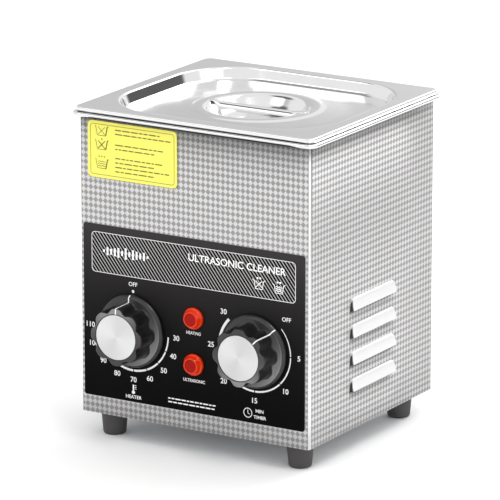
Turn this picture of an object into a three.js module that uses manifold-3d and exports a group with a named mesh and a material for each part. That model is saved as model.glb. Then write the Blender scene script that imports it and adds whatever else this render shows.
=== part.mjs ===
// Two-litre ultrasonic cleaner: a sheet-steel housing with a deep-drawn tank and a loose lid,
// a control panel with a heater dial, a timer dial and two pilot lamps, and the drive, heater
// and mains parts inside.
//
// Millimetres, +Z up. The front with the dials faces -Y and the rear with the inlet faces +Y.
// The origin lies on the ground, under the middle of the whole object's bounding box.

import * as THREE from 'three';
import { mergeVertices } from 'three/addons/utils/BufferGeometryUtils.js';
import Module from 'manifold-3d';

const wasm = await Module();
wasm.setup();

// ---------------------------------------------------------------------------------------------
// Driving dimensions
// ---------------------------------------------------------------------------------------------

const gap = 0.3;            // left between two pieces that touch, so that they never overlap

// Housing
const width = 165;          // over the side sheets
const depth = 152.7;        // from the front sheet to the rear panel
const bayHeight = 92.25;    // from the underside of the base plate to the underside of the tank
const sheet = 1.2;          // steel thickness of the housing
const bend = 1.6;           // outer radius of a folded corner
const flangeWidth = 10;     // folded flanges that take screws

// Feet
const foot = { height: 15.85, top: 8.9, bottom: 8.4, fillet: 1.7, inset: 14.8, bore: 2.2, recess: 4.7, ledge: 7 };

// Tank
const tankDepth = 100;      // from the flange down to the floor, inside
const tankSheet = 0.8;
const tankMargin = 6;       // from the housing's outer face to the tank's inner face
const tankCorner = 30;      // plan radius of the tank's inner corners
const tankFillet = 8;       // radius between wall and floor
const rimOverhang = 5;      // how far the rolled rim stands out past the housing
const rimCorner = 7;        // plan radius of the rim
const bead = 1.45;          // radius of the rolled rim
const rimLift = 0.65;       // air between the housing's top edge and the rolled rim

// Lid
const lidSetback = 1.95;    // lid edge behind the rim's edge
const lidRise = 3.2;        // lid top above the flange
const lidSheet = 0.8;
const lidCorner = 5.5;
const lidEdge = 1.1;        // rounded top edge
const panClearance = 0.7;   // between the lid's sunken pan and the tank wall
const panDepth = 7.4;       // sunken pan, at its outer edge
const panCorner = 42;
const panFillet = 3;
const crown = { rise: 2, inner: 40, margin: 7.65 };    // the pan's floor rises to a flat ring
const dish = { radius: 32.5, floor: 24, depth: 10 };
const grip = { width: 8, height: 4.4, drop: 0.4 };  // bar across the dish

// Control panel and label
const panel = { width: 159.4, height: 111, lift: 11.55, thickness: 0.7, corner: 1.5 };
const label = { width: 64.7, height: 35.9, side: 6.5, top: 1.05, thickness: 0.3, corner: 3 };

// Controls, seen from the front. Each drop is from the tank's underside.
const dial = { spacing: 88.2, shift: 0.4, drop: 34.25 };
const lamp = { x: 1.1, upperDrop: 19.95, lowerDrop: 49.55, bezel: 6.9, face: 4.2, reach: 4.9, barrel: 5.7, barrelLength: 19 };
const knob = { skirt: 23.4, skirtHeight: 3.6, body: 16.6, flute: 1.3, lobes: 8, height: 20, stand: 1.2, cap: 14.3 };
const shaft = { radius: 3, bush: 4.7, nut: 6.9, nutHeight: 2.2 };
const thermostat = { width: 34, height: 40, depth: 24 };
const timer = { width: 44, height: 40, depth: 29 };

// Rear
const inlet = { width: 30, height: 44, x: 42, z: 48, flange: 2.2, body: 24 };
const socket = { width: 24.4, height: 16.8, depth: 15, drop: 9 };
const drawer = { width: 23, height: 9, length: 20, rise: 13 };
const rocker = { width: 10.4, height: 17.6, tilt: 8, x: -42, z: 48 };
const rockerFrame = { width: 15, height: 21.5, flange: 1.8, body: 15 };

// Drive and heater
const stack = { front: 22.5, back: 19.5, frontLength: 24, ring: 19, ringBore: 7.5, ringHeight: 5, backLength: 16 };
const bolt = { radius: 4, head: 6.5, headHeight: 8, reach: 12 };
const heater = { length: 100, height: 42, thickness: 1.6 };
const board = { width: 112, depth: 78, thickness: 1.6, lift: 11, y: -6 };

// Fasteners: head radius, head height, shank radius, length under the head
const smallScrew = { head: 2.8, headHeight: 1.8, shank: 1.3, length: 6 };
const footScrew = { head: 3.9, headHeight: 2.6, shank: 1.9, length: 15 };

// ---------------------------------------------------------------------------------------------
// Levels and places that follow from them
// ---------------------------------------------------------------------------------------------

const baseZ = foot.height + gap;
const tankUnderZ = baseZ + bayHeight;
const tankFloorZ = tankUnderZ + tankSheet;
const flangeZ = tankFloorZ + tankDepth;
const housingTopZ = flangeZ - 2 * bead - rimLift;
const lidTopZ = flangeZ + lidRise;
const panelZ = baseZ + panel.lift;
const [heaterX, timerX] = [dial.shift - dial.spacing / 2, dial.shift + dial.spacing / 2];
const dialZ = tankUnderZ - dial.drop;
const lampZ = [tankUnderZ - lamp.upperDrop, tankUnderZ - lamp.lowerDrop];
const frontY = -depth / 2;
const rearY = depth / 2;
const panelFace = gap + panel.thickness;              // panel's face, out from the front sheet
const rimWidth = width + 2 * rimOverhang;
const rimDepth = depth + 2 * rimOverhang;
const tankWidth = width - 2 * tankMargin;
const tankLength = depth - 2 * tankMargin;
const returnWidth = tankMargin - tankSheet - 1;       // the housing's top edge is folded in
const screwX = width / 2 - sheet - flangeWidth / 2;   // middle of the screw flanges
const screwHole = smallScrew.shank + gap;

// ---------------------------------------------------------------------------------------------
// Colours and finishes
// ---------------------------------------------------------------------------------------------

const finish = (color, roughness, metalness) => new THREE.MeshStandardMaterial({ color, roughness, metalness });
const finishes = {
  patterned: finish('#c4c3c3', 0.4, 0.7),
  steel: finish('#cdcdcd', 0.25, 1),
  zinc: finish('#b9bcbf', 0.4, 1),
  aluminium: finish('#d9dadb', 0.35, 1),
  brass: finish('#c9a24b', 0.35, 1),
  copper: finish('#b8703c', 0.4, 1),
  ceramic: finish('#d8d2bd', 0.6, 0),
  gloss: finish('#17171a', 0.2, 0),
  panel: finish('#2b292a', 0.35, 0),
  yellow: finish('#f5ef6a', 0.5, 0),
  lampRed: finish('#e03a10', 0.25, 0),
  rubber: finish('#4b4848', 0.8, 0),
  black: finish('#1c1c1c', 0.6, 0),
  plastic: finish('#e9e6dc', 0.55, 0),
  board: finish('#1f5b3a', 0.5, 0),
  silicone: finish('#b8552f', 0.7, 0),
  redWire: finish('#a3201c', 0.5, 0),
  blueWire: finish('#2d4f8f', 0.5, 0),
};

// ---------------------------------------------------------------------------------------------
// Geometry helpers
// ---------------------------------------------------------------------------------------------

/** Turns a closed three.js geometry into a solid: only places are kept and its faces point out. */
function solid(geometry) {
  const bare = geometry.clone();
  for (const name of Object.keys(bare.attributes)) {
    if (name !== 'position') bare.deleteAttribute(name);
  }
  const merged = mergeVertices(bare, 1e-4);
  const places = merged.attributes.position.array;
  const corner = (index) => new THREE.Vector3().fromArray(places, 3 * index);
  const faces = [];
  let volume = 0;
  for (let i = 0; i < merged.index.count; i += 3) {
    const [a, b, c] = [0, 1, 2].map((k) => merged.index.getX(i + k));
    if (a === b || b === c || c === a) continue;
    faces.push([a, b, c]);
    volume += corner(a).dot(corner(b).cross(corner(c)));
  }
  const outward = volume < 0 ? faces.map(([a, b, c]) => [a, c, b]) : faces;
  return new wasm.Manifold(new wasm.Mesh({
    numProp: 3,
    vertProperties: Float32Array.from(places),
    triVerts: Uint32Array.from(outward.flat()),
  }));
}

/** Gives a solid back as a three.js geometry. */
function shell(body) {
  const mesh = body.getMesh();
  const geometry = new THREE.BufferGeometry();
  geometry.setAttribute('position', new THREE.BufferAttribute(mesh.vertProperties, 3));
  geometry.setIndex(new THREE.BufferAttribute(mesh.triVerts, 1));
  geometry.computeVertexNormals();
  return geometry;
}

const join = (first, ...rest) => rest.reduce((sum, next) => sum.add(solid(next)), solid(first));
const cut = (body, ...tools) => tools.reduce((sum, tool) => sum.subtract(solid(tool)), body);

/** A box between two corners. */
function block(x0, x1, y0, y1, z0, z1) {
  return new THREE.BoxGeometry(x1 - x0, y1 - y0, z1 - z0)
    .translate((x0 + x1) / 2, (y0 + y1) / 2, (z0 + z1) / 2);
}

/** A body of revolution about +Z from [radius, height] pairs. */
function turned(profile, sides = 24) {
  const points = profile.map(([radius, height]) => new THREE.Vector2(radius, height));
  return new THREE.LatheGeometry(points, sides).rotateX(Math.PI / 2);
}

/** A round bar about +Z between two heights. */
const rod = (radius, z0, z1, sides = 24) => turned([[0, z0], [radius, z0], [radius, z1], [0, z1]], sides);

/** A tube about +Z between two heights. */
function ring(outer, inner, z0, z1, sides = 24) {
  return turned([[inner, z0], [outer, z0], [outer, z1], [inner, z1], [inner, z0]], sides);
}

/** A rounded rectangle centred on the origin. */
function roundedRectangle(w, h, radius) {
  const r = Math.min(radius, 0.49 * w, 0.49 * h);
  const [x, y] = [w / 2 - r, h / 2 - r];
  const shape = new THREE.Shape();
  shape.absarc(x, -y, r, -Math.PI / 2, 0);
  shape.absarc(x, y, r, 0, Math.PI / 2);
  shape.absarc(-x, y, r, Math.PI / 2, Math.PI);
  shape.absarc(-x, -y, r, Math.PI, 1.5 * Math.PI);
  shape.closePath();
  return shape;
}

/** A rectangle centred on the origin. */
const rectangle = (w, h) => outline([[-w / 2, -h / 2], [w / 2, -h / 2], [w / 2, h / 2], [-w / 2, h / 2]]);

/** A straight-sided outline through the points. */
const outline = (points) => new THREE.Shape(points.map(([x, y]) => new THREE.Vector2(x, y)));

/** A shape carried from one height to another. */
function raised(shape, z0, z1, arcSteps = 4) {
  return new THREE.ExtrudeGeometry(shape, { depth: z1 - z0, bevelEnabled: false, curveSegments: arcSteps })
    .translate(0, 0, z0);
}

/** As raised, with both ends rounded by a radius, kept inside the shape's outline and the heights. */
function cushioned(shape, z0, z1, radius, steps, arcSteps = 4) {
  return new THREE.ExtrudeGeometry(shape, {
    depth: z1 - z0 - 2 * radius,
    bevelThickness: radius,
    bevelSize: radius,
    bevelOffset: -radius,
    bevelSegments: steps,
    curveSegments: arcSteps,
  }).translate(0, 0, z0 + radius);
}

/** Turns a geometry built with +Z outwards and +Y up on to the front sheet. */
const onFront = (geometry, x, z) => geometry.rotateX(Math.PI / 2).translate(x, frontY, z);

/** Turns a geometry built with +Z outwards and +Y up on to the rear panel. */
function onRear(geometry, x, z) {
  return geometry.rotateZ(Math.PI).rotateX(-Math.PI / 2).translate(x, rearY, z);
}

/** A round lead through the points. */
function lead(points, radius, steps) {
  const path = new THREE.CatmullRomCurve3(points.map((point) => new THREE.Vector3(...point)));
  const section = outline(Array.from({ length: 8 }, (_, k) => {
    const angle = (k * Math.PI) / 4;
    return [radius * Math.cos(angle), radius * Math.sin(angle)];
  }));
  return new THREE.ExtrudeGeometry(section, { steps, extrudePath: path, bevelEnabled: false });
}

const model = new THREE.Group();

/** Adds one named piece to the model. */
function piece(name, body, material, place = [0, 0, 0], turn = [0, 0, 0]) {
  const mesh = new THREE.Mesh(body.isBufferGeometry ? body : shell(body), material);
  mesh.name = name;
  mesh.position.set(...place);
  mesh.rotation.set(...turn);
  model.add(mesh);
}

/** A pan-head screw about +Z: its head stands on z = 0 and its shank hangs below. */
function screw({ head, headHeight, shank, length }) {
  const body = join(
    turned([[0, 0], [head, 0], [head, 0.6 * headHeight], [0.7 * head, headHeight], [0, headHeight]], 12),
    rod(shank, -length, 0.1, 8),
  );
  const [arm, slot, bottom] = [0.55 * head, 0.12 * head, 0.5 * headHeight];
  return cut(
    body,
    block(-arm, arm, -slot, slot, bottom, headHeight + 1),
    block(-slot, slot, -arm, arm, bottom, headHeight + 1),
  );
}

// ---------------------------------------------------------------------------------------------
// Housing: a wrap of front and sides, a rear panel and a base plate
// ---------------------------------------------------------------------------------------------

const louvre = { count: 4, length: 57.1, height: 8.8, reach: 2.9, top: 84.35, pitch: 17.25, y: 0.75, run: 7 };

/** A hood pressed out of the side: round-ended in elevation, and sloping out to its lower edge. */
function hood(length, height, reach, run, below, behind) {
  const face = new THREE.Shape();
  const end = length / 2;
  face.moveTo(end, 0);
  face.absellipse(end - run, 0, run, height, 0, Math.PI / 2);
  face.absellipse(run - end, 0, run, height, Math.PI / 2, Math.PI);
  face.lineTo(-end, -below);
  face.lineTo(end, -below);
  const slope = new THREE.Shape();
  slope.moveTo(-behind, -below);
  slope.lineTo(reach, -below);
  slope.lineTo(reach, 0);
  slope.quadraticCurveTo(reach, 0.55 * height, 0, height);
  slope.lineTo(-behind, height);
  const toSide = new THREE.Matrix4().makeBasis(
    new THREE.Vector3(0, 1, 0), new THREE.Vector3(0, 0, 1), new THREE.Vector3(1, 0, 0));
  const acrossSide = new THREE.Matrix4().makeBasis(
    new THREE.Vector3(1, 0, 0), new THREE.Vector3(0, 0, 1), new THREE.Vector3(0, -1, 0));
  const elevation = raised(face, -behind, reach, 3).applyMatrix4(toSide);
  const section = raised(slope, -length, length, 3).applyMatrix4(acrossSide);
  return shell(solid(elevation).intersect(solid(section)));
}

/** Places a hood on one side of the housing: +1 right, -1 left. */
function onSide(geometry, side, z) {
  return geometry.translate(width / 2, louvre.y, z).scale(side, 1, 1);
}

function wrap() {
  const [w, inner] = [width / 2, width / 2 - sheet];
  const plan = new THREE.Shape();
  plan.moveTo(-w, rearY);
  plan.absarc(-w + bend, frontY + bend, bend, Math.PI, 1.5 * Math.PI);
  plan.absarc(w - bend, frontY + bend, bend, 1.5 * Math.PI, 2 * Math.PI);
  plan.lineTo(w, rearY);
  plan.lineTo(inner, rearY);
  plan.lineTo(inner, frontY + sheet);
  plan.lineTo(-inner, frontY + sheet);
  plan.lineTo(-inner, rearY);

  // The top edge is folded in over the front and both sides.
  const foldRear = rearY - sheet - gap;
  const topFold = roundedRectangle(width, depth, bend);
  topFold.holes.push(outline([
    [-w + returnWidth, frontY + returnWidth], [w - returnWidth, frontY + returnWidth],
    [w - returnWidth, rearY - sheet], [-w + returnWidth, rearY - sheet],
  ]));
  const fold = cut(
    solid(raised(topFold, housingTopZ - sheet, housingTopZ)),
    block(-w - 1, w + 1, foldRear, rearY + 1, housingTopZ - 2 * sheet, housingTopZ + 1),
  );

  let body = join(raised(plan, baseZ, housingTopZ)).add(fold);
  const bottomFlangeZ = baseZ + sheet + gap;
  const rearFlangeY = rearY - 2 * sheet - gap;
  for (const side of [-1, 1]) {
    const [x0, x1] = side > 0 ? [inner - flangeWidth, inner + 0.5] : [-inner - 0.5, -inner + flangeWidth];
    body = body
      .add(solid(block(x0, x1, frontY + flangeWidth, rearY - flangeWidth, bottomFlangeZ, bottomFlangeZ + sheet)))
      .add(solid(block(x0, x1, rearFlangeY, rearFlangeY + sheet, baseZ + 8, housingTopZ - 4)));
    for (let i = 0; i < louvre.count; i += 1) {
      const z = baseZ + louvre.top - louvre.height - i * louvre.pitch;
      body = body.add(solid(onSide(
        hood(louvre.length, louvre.height, louvre.reach, louvre.run, 0, 0.5 * sheet), side, z)));
      body = cut(body, onSide(
        hood(louvre.length - 2 * sheet, louvre.height - sheet, louvre.reach - 0.7 * sheet,
          louvre.run - sheet, 1, 2 * sheet), side, z));
    }
    body = cut(
      body,
      ...baseScrewY.map((y) => rod(screwHole, bottomFlangeZ - 1, bottomFlangeZ + 2 * sheet, 10)
        .translate(side * screwX, y, 0)),
      ...rearScrewZ.map((z) => onRear(rod(screwHole, -8, 1, 10), side * screwX, z)),
    );
  }
  return cut(body, ...frontHoles());
}

/** The holes that the two bushes and the two lamps take through the front sheet and the panel. */
function frontHoles() {
  return [
    ...[heaterX, timerX].map((x) => onFront(rod(shaft.bush + gap, -10, 10, 16), x, dialZ)),
    ...lampZ.map((z) => onFront(rod(lamp.barrel + gap, -10, 10, 16), lamp.x, z)),
  ];
}

const baseScrewY = [-depth / 2 + 30, depth / 2 - 30];
const rearScrewZ = [baseZ + 14, housingTopZ - 14];
const [feetX, feetY] = [width / 2 - foot.inset, depth / 2 - foot.inset];
const inletHole = { w: inlet.width - 3 + 2 * gap, h: inlet.height - 6 + 2 * gap };
const rockerHole = { w: rockerFrame.width - 3 + 2 * gap, h: rockerFrame.height - 3 + 2 * gap };

piece('housing_wrap', wrap(), finishes.patterned);

function rearPanel() {
  const half = width / 2 - sheet - gap;
  const fold = width / 2 - returnWidth - gap;
  const vents = Array.from({ length: 5 }, (_, i) => {
    const z = housingTopZ - 40 - 9 * i;
    return [-1, 1].map((side) => block(side * 22 - 14, side * 22 + 14, rearY - 4, rearY + 1, z, z + 3.2));
  }).flat();
  return cut(
    join(
      block(-half, half, rearY - sheet, rearY, baseZ, housingTopZ),
      block(-fold, fold, rearY - returnWidth, rearY - 0.5 * sheet, housingTopZ - sheet, housingTopZ),
    ),
    onRear(raised(rectangle(inletHole.w, inletHole.h), -4, 1), inlet.x, inlet.z),
    onRear(raised(rectangle(rockerHole.w, rockerHole.h), -4, 1), rocker.x, rocker.z),
    ...rearScrewZ.flatMap((z) => [-1, 1].map((side) => onRear(rod(screwHole, -8, 1, 10), side * screwX, z))),
    ...vents,
  );
}
piece('rear_panel', rearPanel(), finishes.zinc);

function basePlate() {
  const [x, y] = [width / 2 - sheet - gap, depth / 2 - sheet - gap];
  const fold = x - flangeWidth - 1;
  const slots = [-1, 1].flatMap((side) => Array.from({ length: 5 }, (_, i) => {
    const middle = 14 * (i - 2);
    return block(side * 30 - 16, side * 30 + 16, middle - 2, middle + 2, baseZ - 1, baseZ + sheet + 1);
  }));
  return cut(
    join(
      block(-x, x, -y, y, baseZ, baseZ + sheet),
      block(-fold, fold, -y, -y + sheet, baseZ + 0.5 * sheet, baseZ + 12),
      block(-fold, fold, y - sheet, y, baseZ + 0.5 * sheet, baseZ + 12),
    ),
    ...slots,
    ...[-1, 1].flatMap((side) => [
      ...baseScrewY.map((at) => rod(screwHole, baseZ - 1, baseZ + 3, 10).translate(side * screwX, at, 0)),
      ...[-feetY, feetY].map((at) => rod(footScrew.shank + gap, baseZ - 1, baseZ + 3, 10)
        .translate(side * feetX, at, 0)),
    ]),
  );
}
piece('base_plate', basePlate(), finishes.zinc);

// Feet: a moulded rubber foot with a sunken screw
const footProfile = [
  [foot.bore, foot.height], [foot.bore, foot.ledge], [foot.recess, foot.ledge], [foot.recess, 0],
  ...Array.from({ length: 4 }, (_, i) => {
    const angle = (i * Math.PI) / 6;
    return [
      foot.bottom - foot.fillet + foot.fillet * Math.sin(angle),
      foot.fillet - foot.fillet * Math.cos(angle),
    ];
  }),
  [foot.top, foot.height], [foot.bore, foot.height],
];
for (const [name, x, y] of [
  ['front_left', -feetX, -feetY], ['front_right', feetX, -feetY],
  ['rear_left', -feetX, feetY], ['rear_right', feetX, feetY],
]) {
  piece(`foot_${name}`, solid(turned(footProfile, 16)), finishes.rubber, [x, y, 0]);
  piece(`foot_screw_${name}`, screw(footScrew), finishes.zinc, [x, y, foot.ledge - gap], [Math.PI, 0, 0]);
}
for (const side of [-1, 1]) {
  const hand = side < 0 ? 'left' : 'right';
  baseScrewY.forEach((y, i) => piece(`base_screw_${hand}_${i + 1}`, screw(smallScrew), finishes.zinc,
    [side * screwX, y, baseZ - gap], [Math.PI, 0, 0]));
  rearScrewZ.forEach((z, i) => piece(`rear_screw_${hand}_${i + 1}`, screw(smallScrew), finishes.zinc,
    [side * screwX, rearY + gap, z], [-Math.PI / 2, 0, 0]));
}

// ---------------------------------------------------------------------------------------------
// Tank and lid
// ---------------------------------------------------------------------------------------------

function tank() {
  const outer = roundedRectangle(tankWidth + 2 * tankSheet, tankLength + 2 * tankSheet, tankCorner + tankSheet);
  const inner = roundedRectangle(tankWidth, tankLength, tankCorner);
  const rim = roundedRectangle(rimWidth, rimDepth, rimCorner);
  const underRim = roundedRectangle(rimWidth - 4.4 * bead, rimDepth - 4.4 * bead, rimCorner - 2 * bead);
  const flange = cut(
    solid(cushioned(rim, flangeZ - 2 * bead, flangeZ, 0.98 * bead, 2, 4)),
    raised(underRim, flangeZ - 3 * bead, flangeZ - tankSheet, 4),
  );
  const body = cut(
    solid(cushioned(outer, tankUnderZ, flangeZ + 20, tankFillet + tankSheet, 2, 4)),
    block(-width, width, -depth, depth, flangeZ - 0.2, flangeZ + 30),
  );
  return cut(body.add(flange), cushioned(inner, tankFloorZ, flangeZ + 40, tankFillet, 2, 4));
}
piece('tank', tank(), finishes.steel);

const gasketFrame = roundedRectangle(width - 1, depth - 1, bend);
gasketFrame.holes.push(roundedRectangle(
  tankWidth + 2 * tankSheet + 1.2, tankLength + 2 * tankSheet + 1.2, tankCorner + tankSheet + 0.6));
piece('tank_gasket', solid(raised(gasketFrame, housingTopZ + gap, flangeZ - tankSheet - gap)), finishes.rubber);

const panFloorZ = lidTopZ - panDepth;
const ringZ = panFloorZ + crown.rise;
const crownOuter = Math.min(tankWidth, tankLength) / 2 - panClearance - crown.margin;

function lid() {
  const edge = roundedRectangle(rimWidth - 2 * lidSetback, rimDepth - 2 * lidSetback, lidCorner);
  const under = roundedRectangle(
    rimWidth - 2 * lidSetback - 2 * lidSheet, rimDepth - 2 * lidSetback - 2 * lidSheet, lidCorner - lidSheet);
  const panWidth = tankWidth - 2 * panClearance;
  const panLength = tankLength - 2 * panClearance;
  const panOuter = roundedRectangle(panWidth, panLength, panCorner + lidSheet);
  const panInner = roundedRectangle(panWidth - 2 * lidSheet, panLength - 2 * lidSheet, panCorner);
  const cover = cut(
    solid(cushioned(edge, flangeZ - 6, lidTopZ, lidEdge, 2, 3)),
    block(-width, width, -depth, depth, flangeZ - 20, flangeZ + gap),
    raised(under, flangeZ - 10, lidTopZ - lidSheet, 3),
  );
  const panShell = cut(
    solid(cushioned(panOuter, panFloorZ - lidSheet, lidTopZ + 20, panFillet + lidSheet, 2, 5)),
    block(-width, width, -depth, depth, lidTopZ - 0.5 * lidSheet, lidTopZ + 40),
  );
  // The raised ring and the dish are turned about the middle.
  const floor = (lower) => [
    [crownOuter, panFloorZ - lower], [crown.inner, ringZ - lower], [dish.radius + lower, ringZ - lower],
    [dish.floor + lower, ringZ - dish.depth - lower], [0, ringZ - dish.depth - lower],
  ];
  const body = cut(
    cover.add(panShell),
    cushioned(panInner, panFloorZ, lidTopZ + 30, panFillet, 2, 5),
  );
  const pressed = turned([
    ...floor(0), [0, ringZ - dish.depth - lidSheet], ...floor(lidSheet).slice(0, 4).reverse(),
    [crownOuter, panFloorZ - lidSheet], [crownOuter, panFloorZ],
  ].filter((point, i, all) => i === 0 || point.some((value, k) => value !== all[i - 1][k])), 32);
  return cut(body, rod(crownOuter - 0.2, panFloorZ - 2, panFloorZ + 1, 32)).add(solid(pressed));
}
piece('lid', lid(), finishes.steel);

// A half-round bar across the dish, its ends cut to the dish's slope
const gripTop = ringZ - grip.drop;
const gripReach = dish.radius - ((dish.radius - dish.floor) * (grip.drop + grip.height)) / dish.depth - 2 * gap;
const gripSection = new THREE.Shape();
gripSection.moveTo(-grip.width / 2, 0);
gripSection.lineTo(-grip.width / 2, grip.height / 3);
gripSection.quadraticCurveTo(-grip.width / 2, grip.height, 0, grip.height);
gripSection.quadraticCurveTo(grip.width / 2, grip.height, grip.width / 2, grip.height / 3);
gripSection.lineTo(grip.width / 2, 0);
piece('lid_grip', solid(raised(gripSection, -gripReach, gripReach, 4).rotateX(Math.PI / 2).rotateZ(Math.PI / 2)
  .translate(0, 0, gripTop - grip.height)), finishes.steel);

// ---------------------------------------------------------------------------------------------
// Control panel, label, lamps and dials
// ---------------------------------------------------------------------------------------------

const panelShape = roundedRectangle(panel.width, panel.height, panel.corner);
piece('control_panel', cut(
  solid(onFront(raised(panelShape, gap, panelFace), 0, panelZ + panel.height / 2)),
  ...frontHoles(),
), finishes.panel);

piece('care_label', solid(onFront(
  raised(roundedRectangle(label.width, label.height, label.corner), gap, gap + label.thickness),
  -width / 2 + label.side + label.width / 2,
  housingTopZ - label.top - label.height / 2,
)), finishes.yellow);

lampZ.forEach((z, i) => {
  const name = ['heating_lamp', 'ultrasonic_lamp'][i];
  const [seat, front] = [panelFace + gap, panelFace + gap + lamp.reach];
  piece(`${name}_lens`, solid(onFront(turned([
    [0, seat - 4], [lamp.barrel - 1.3, seat - 4], [lamp.barrel - 1.3, seat], [lamp.bezel, seat],
    [lamp.bezel, seat + 1.3], [lamp.bezel - 0.8, seat + 1.8], [lamp.face + 0.5, front - 0.5],
    [lamp.face, front], [0, front],
  ], 20), lamp.x, z)), finishes.lampRed);
  const nut = -sheet - gap;
  const barrel = cut(
    join(
      onFront(rod(lamp.barrel, -lamp.barrelLength, panelFace), lamp.x, z),
      onFront(rod(lamp.barrel + 2.8, nut - 3, nut, 6), lamp.x, z),
      ...[-2.5, 2.5].map((x) => onFront(
        block(x - 0.4, x + 0.4, -1.5, 1.5, -lamp.barrelLength - 6, 1 - lamp.barrelLength), lamp.x, z)),
    ),
    onFront(rod(lamp.barrel - 1, -lamp.barrelLength + 2, panelFace + 1), lamp.x, z),
  );
  piece(`${name}_holder`, barrel, finishes.black);
});

/** A fluted knob body on a bevelled skirt, hollow below for the nut and bored for the shaft. */
function knobBody() {
  const back = panelFace + knob.stand;
  const front = panelFace + knob.height;
  const flutes = outline(Array.from({ length: 6 * knob.lobes }, (_, i) => {
    const angle = (i * Math.PI) / (3 * knob.lobes);
    const radius = knob.body + knob.flute * Math.cos(knob.lobes * angle);
    return [radius * Math.cos(angle), radius * Math.sin(angle)];
  }));
  return cut(
    join(
      turned([
        [0, back], [knob.skirt, back], [knob.skirt, back + 0.4 * knob.skirtHeight],
        [knob.skirt - 1.6, back + knob.skirtHeight], [0, back + knob.skirtHeight],
      ], 32),
      cushioned(flutes, back + 0.5 * knob.skirtHeight, front, 1, 1),
    ),
    rod(knob.cap + gap, front - 1.4, front + 1, 32),
    rod(shaft.nut + 1.6, back - 1, back + 0.6 * knob.skirtHeight, 24),
    rod(shaft.radius + gap, back - 1, front - 3.2, 16),
  );
}

/** A control's shaft with a flat near its end. */
function dialShaft() {
  const end = panelFace + knob.height - 3.5;
  return cut(
    solid(rod(shaft.radius, -8, end, 16)),
    block(shaft.radius - 0.8, shaft.radius + 1, -4, 4, end - 9, end + 1),
  );
}

/** A control body behind the front sheet: a case with a threaded bush and terminals. */
function control({ width: w, height: h, depth: d }) {
  const face = -sheet - gap;
  const terminals = [-1, 1].flatMap((side) => [0, 1].map((k) =>
    block(side * 8 - 3, side * 8 + 3, 6 * k - 6.4, 6 * k - 5.6, face - d - 7, face - d + 1)));
  return cut(
    join(
      cushioned(roundedRectangle(w, h, 3), face - d, face, 0.8, 1, 2),
      rod(shaft.bush, face - 1, panelFace + gap + shaft.nutHeight + 0.4, 16),
      ...terminals,
    ),
    rod(shaft.radius + gap, -9, 20, 16),
  );
}

const nutRing = () => cut(
  solid(rod(shaft.nut, panelFace + gap, panelFace + gap + shaft.nutHeight, 6)),
  rod(shaft.bush + gap, 0, 10, 16),
);

for (const [name, x, controlName, size, caseFinish] of [
  ['heater', heaterX, 'thermostat', thermostat, finishes.plastic],
  ['timer', timerX, 'timer', timer, finishes.zinc],
]) {
  const front = panelFace + knob.height;
  const place = (body) => onFront(shell(body), x, dialZ);
  piece(`${name}_knob`, place(knobBody()), finishes.gloss);
  piece(`${name}_knob_cap`, place(solid(turned([
    [0, front - 1.1], [knob.cap, front - 1.1], [knob.cap, front - 0.3], [knob.cap - 0.3, front], [0, front],
  ], 32))), finishes.aluminium);
  piece(`${controlName}_shaft`, place(dialShaft()), finishes.aluminium);
  piece(`${controlName}_nut`, place(nutRing()), finishes.zinc);
  piece(`${controlName}_body`, place(control(size)), caseFinish);
}

// Thermostat bulb under the tank, and the capillary tube that joins it to the thermostat
const bulb = { radius: 3, length: 70, y: -stack.front - 12, z: tankUnderZ - gap - 3 };
piece('thermostat_bulb', solid(rod(bulb.radius, -bulb.length / 2, bulb.length / 2, 14).rotateY(Math.PI / 2)
  .translate(0, bulb.y, bulb.z)), finishes.copper);
const thermostatTop = dialZ + thermostat.height / 2 + gap;
piece('capillary_tube', solid(lead([
  [heaterX, frontY + 14, thermostatTop], [heaterX, frontY + 15, thermostatTop + 4],
  [heaterX - 4, frontY + 24, bulb.z - 4], [heaterX - 2, frontY + 35, bulb.z - 1],
  [heaterX + 2, bulb.y, bulb.z], [-bulb.length / 2 - gap, bulb.y, bulb.z],
], 0.9, 14)), finishes.copper);

// ---------------------------------------------------------------------------------------------
// Ultrasonic drive under the tank, and the heater pad on its side
// ---------------------------------------------------------------------------------------------

const frontMassZ = tankUnderZ - gap - stack.frontLength;
const upperRingZ = frontMassZ - gap - stack.ringHeight;
const electrodeZ = upperRingZ - gap - 0.4;
const lowerRingZ = electrodeZ - gap - stack.ringHeight;
const backMassZ = lowerRingZ - gap - stack.backLength;
const boltSeatZ = backMassZ + bolt.headHeight;
const boltBore = bolt.radius + gap;

piece('transducer_front_mass', cut(
  solid(turned([
    [0, frontMassZ], [stack.back, frontMassZ], [stack.back, frontMassZ + 6],
    [stack.front, tankUnderZ - gap - 5], [stack.front, tankUnderZ - gap], [0, tankUnderZ - gap],
  ], 24)),
  rod(boltBore, frontMassZ - 1, frontMassZ + bolt.reach + gap, 16),
), finishes.aluminium);
piece('transducer_upper_ceramic', solid(ring(stack.ring, stack.ringBore, upperRingZ, upperRingZ + stack.ringHeight, 24)),
  finishes.ceramic);
piece('transducer_electrode', join(
  ring(stack.ring - 0.4, stack.ringBore, electrodeZ, electrodeZ + 0.4, 24),
  block(stack.ring - 2, stack.ring + 7, -2.5, 2.5, electrodeZ, electrodeZ + 0.4),
), finishes.brass);
piece('transducer_lower_ceramic', solid(ring(stack.ring, stack.ringBore, lowerRingZ, lowerRingZ + stack.ringHeight, 24)),
  finishes.ceramic);
piece('transducer_back_mass', cut(
  solid(ring(stack.back, boltBore, backMassZ, backMassZ + stack.backLength, 24)),
  rod(bolt.head + gap, backMassZ - 1, boltSeatZ, 20),
), finishes.zinc);
piece('transducer_bolt', cut(
  join(
    rod(bolt.radius, boltSeatZ - gap - 1, frontMassZ + bolt.reach, 14),
    rod(bolt.head, boltSeatZ - gap - bolt.headHeight + 1, boltSeatZ - gap, 18),
  ),
  rod(3.4, boltSeatZ - bolt.headHeight, boltSeatZ - 3, 6),
), finishes.zinc);

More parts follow.
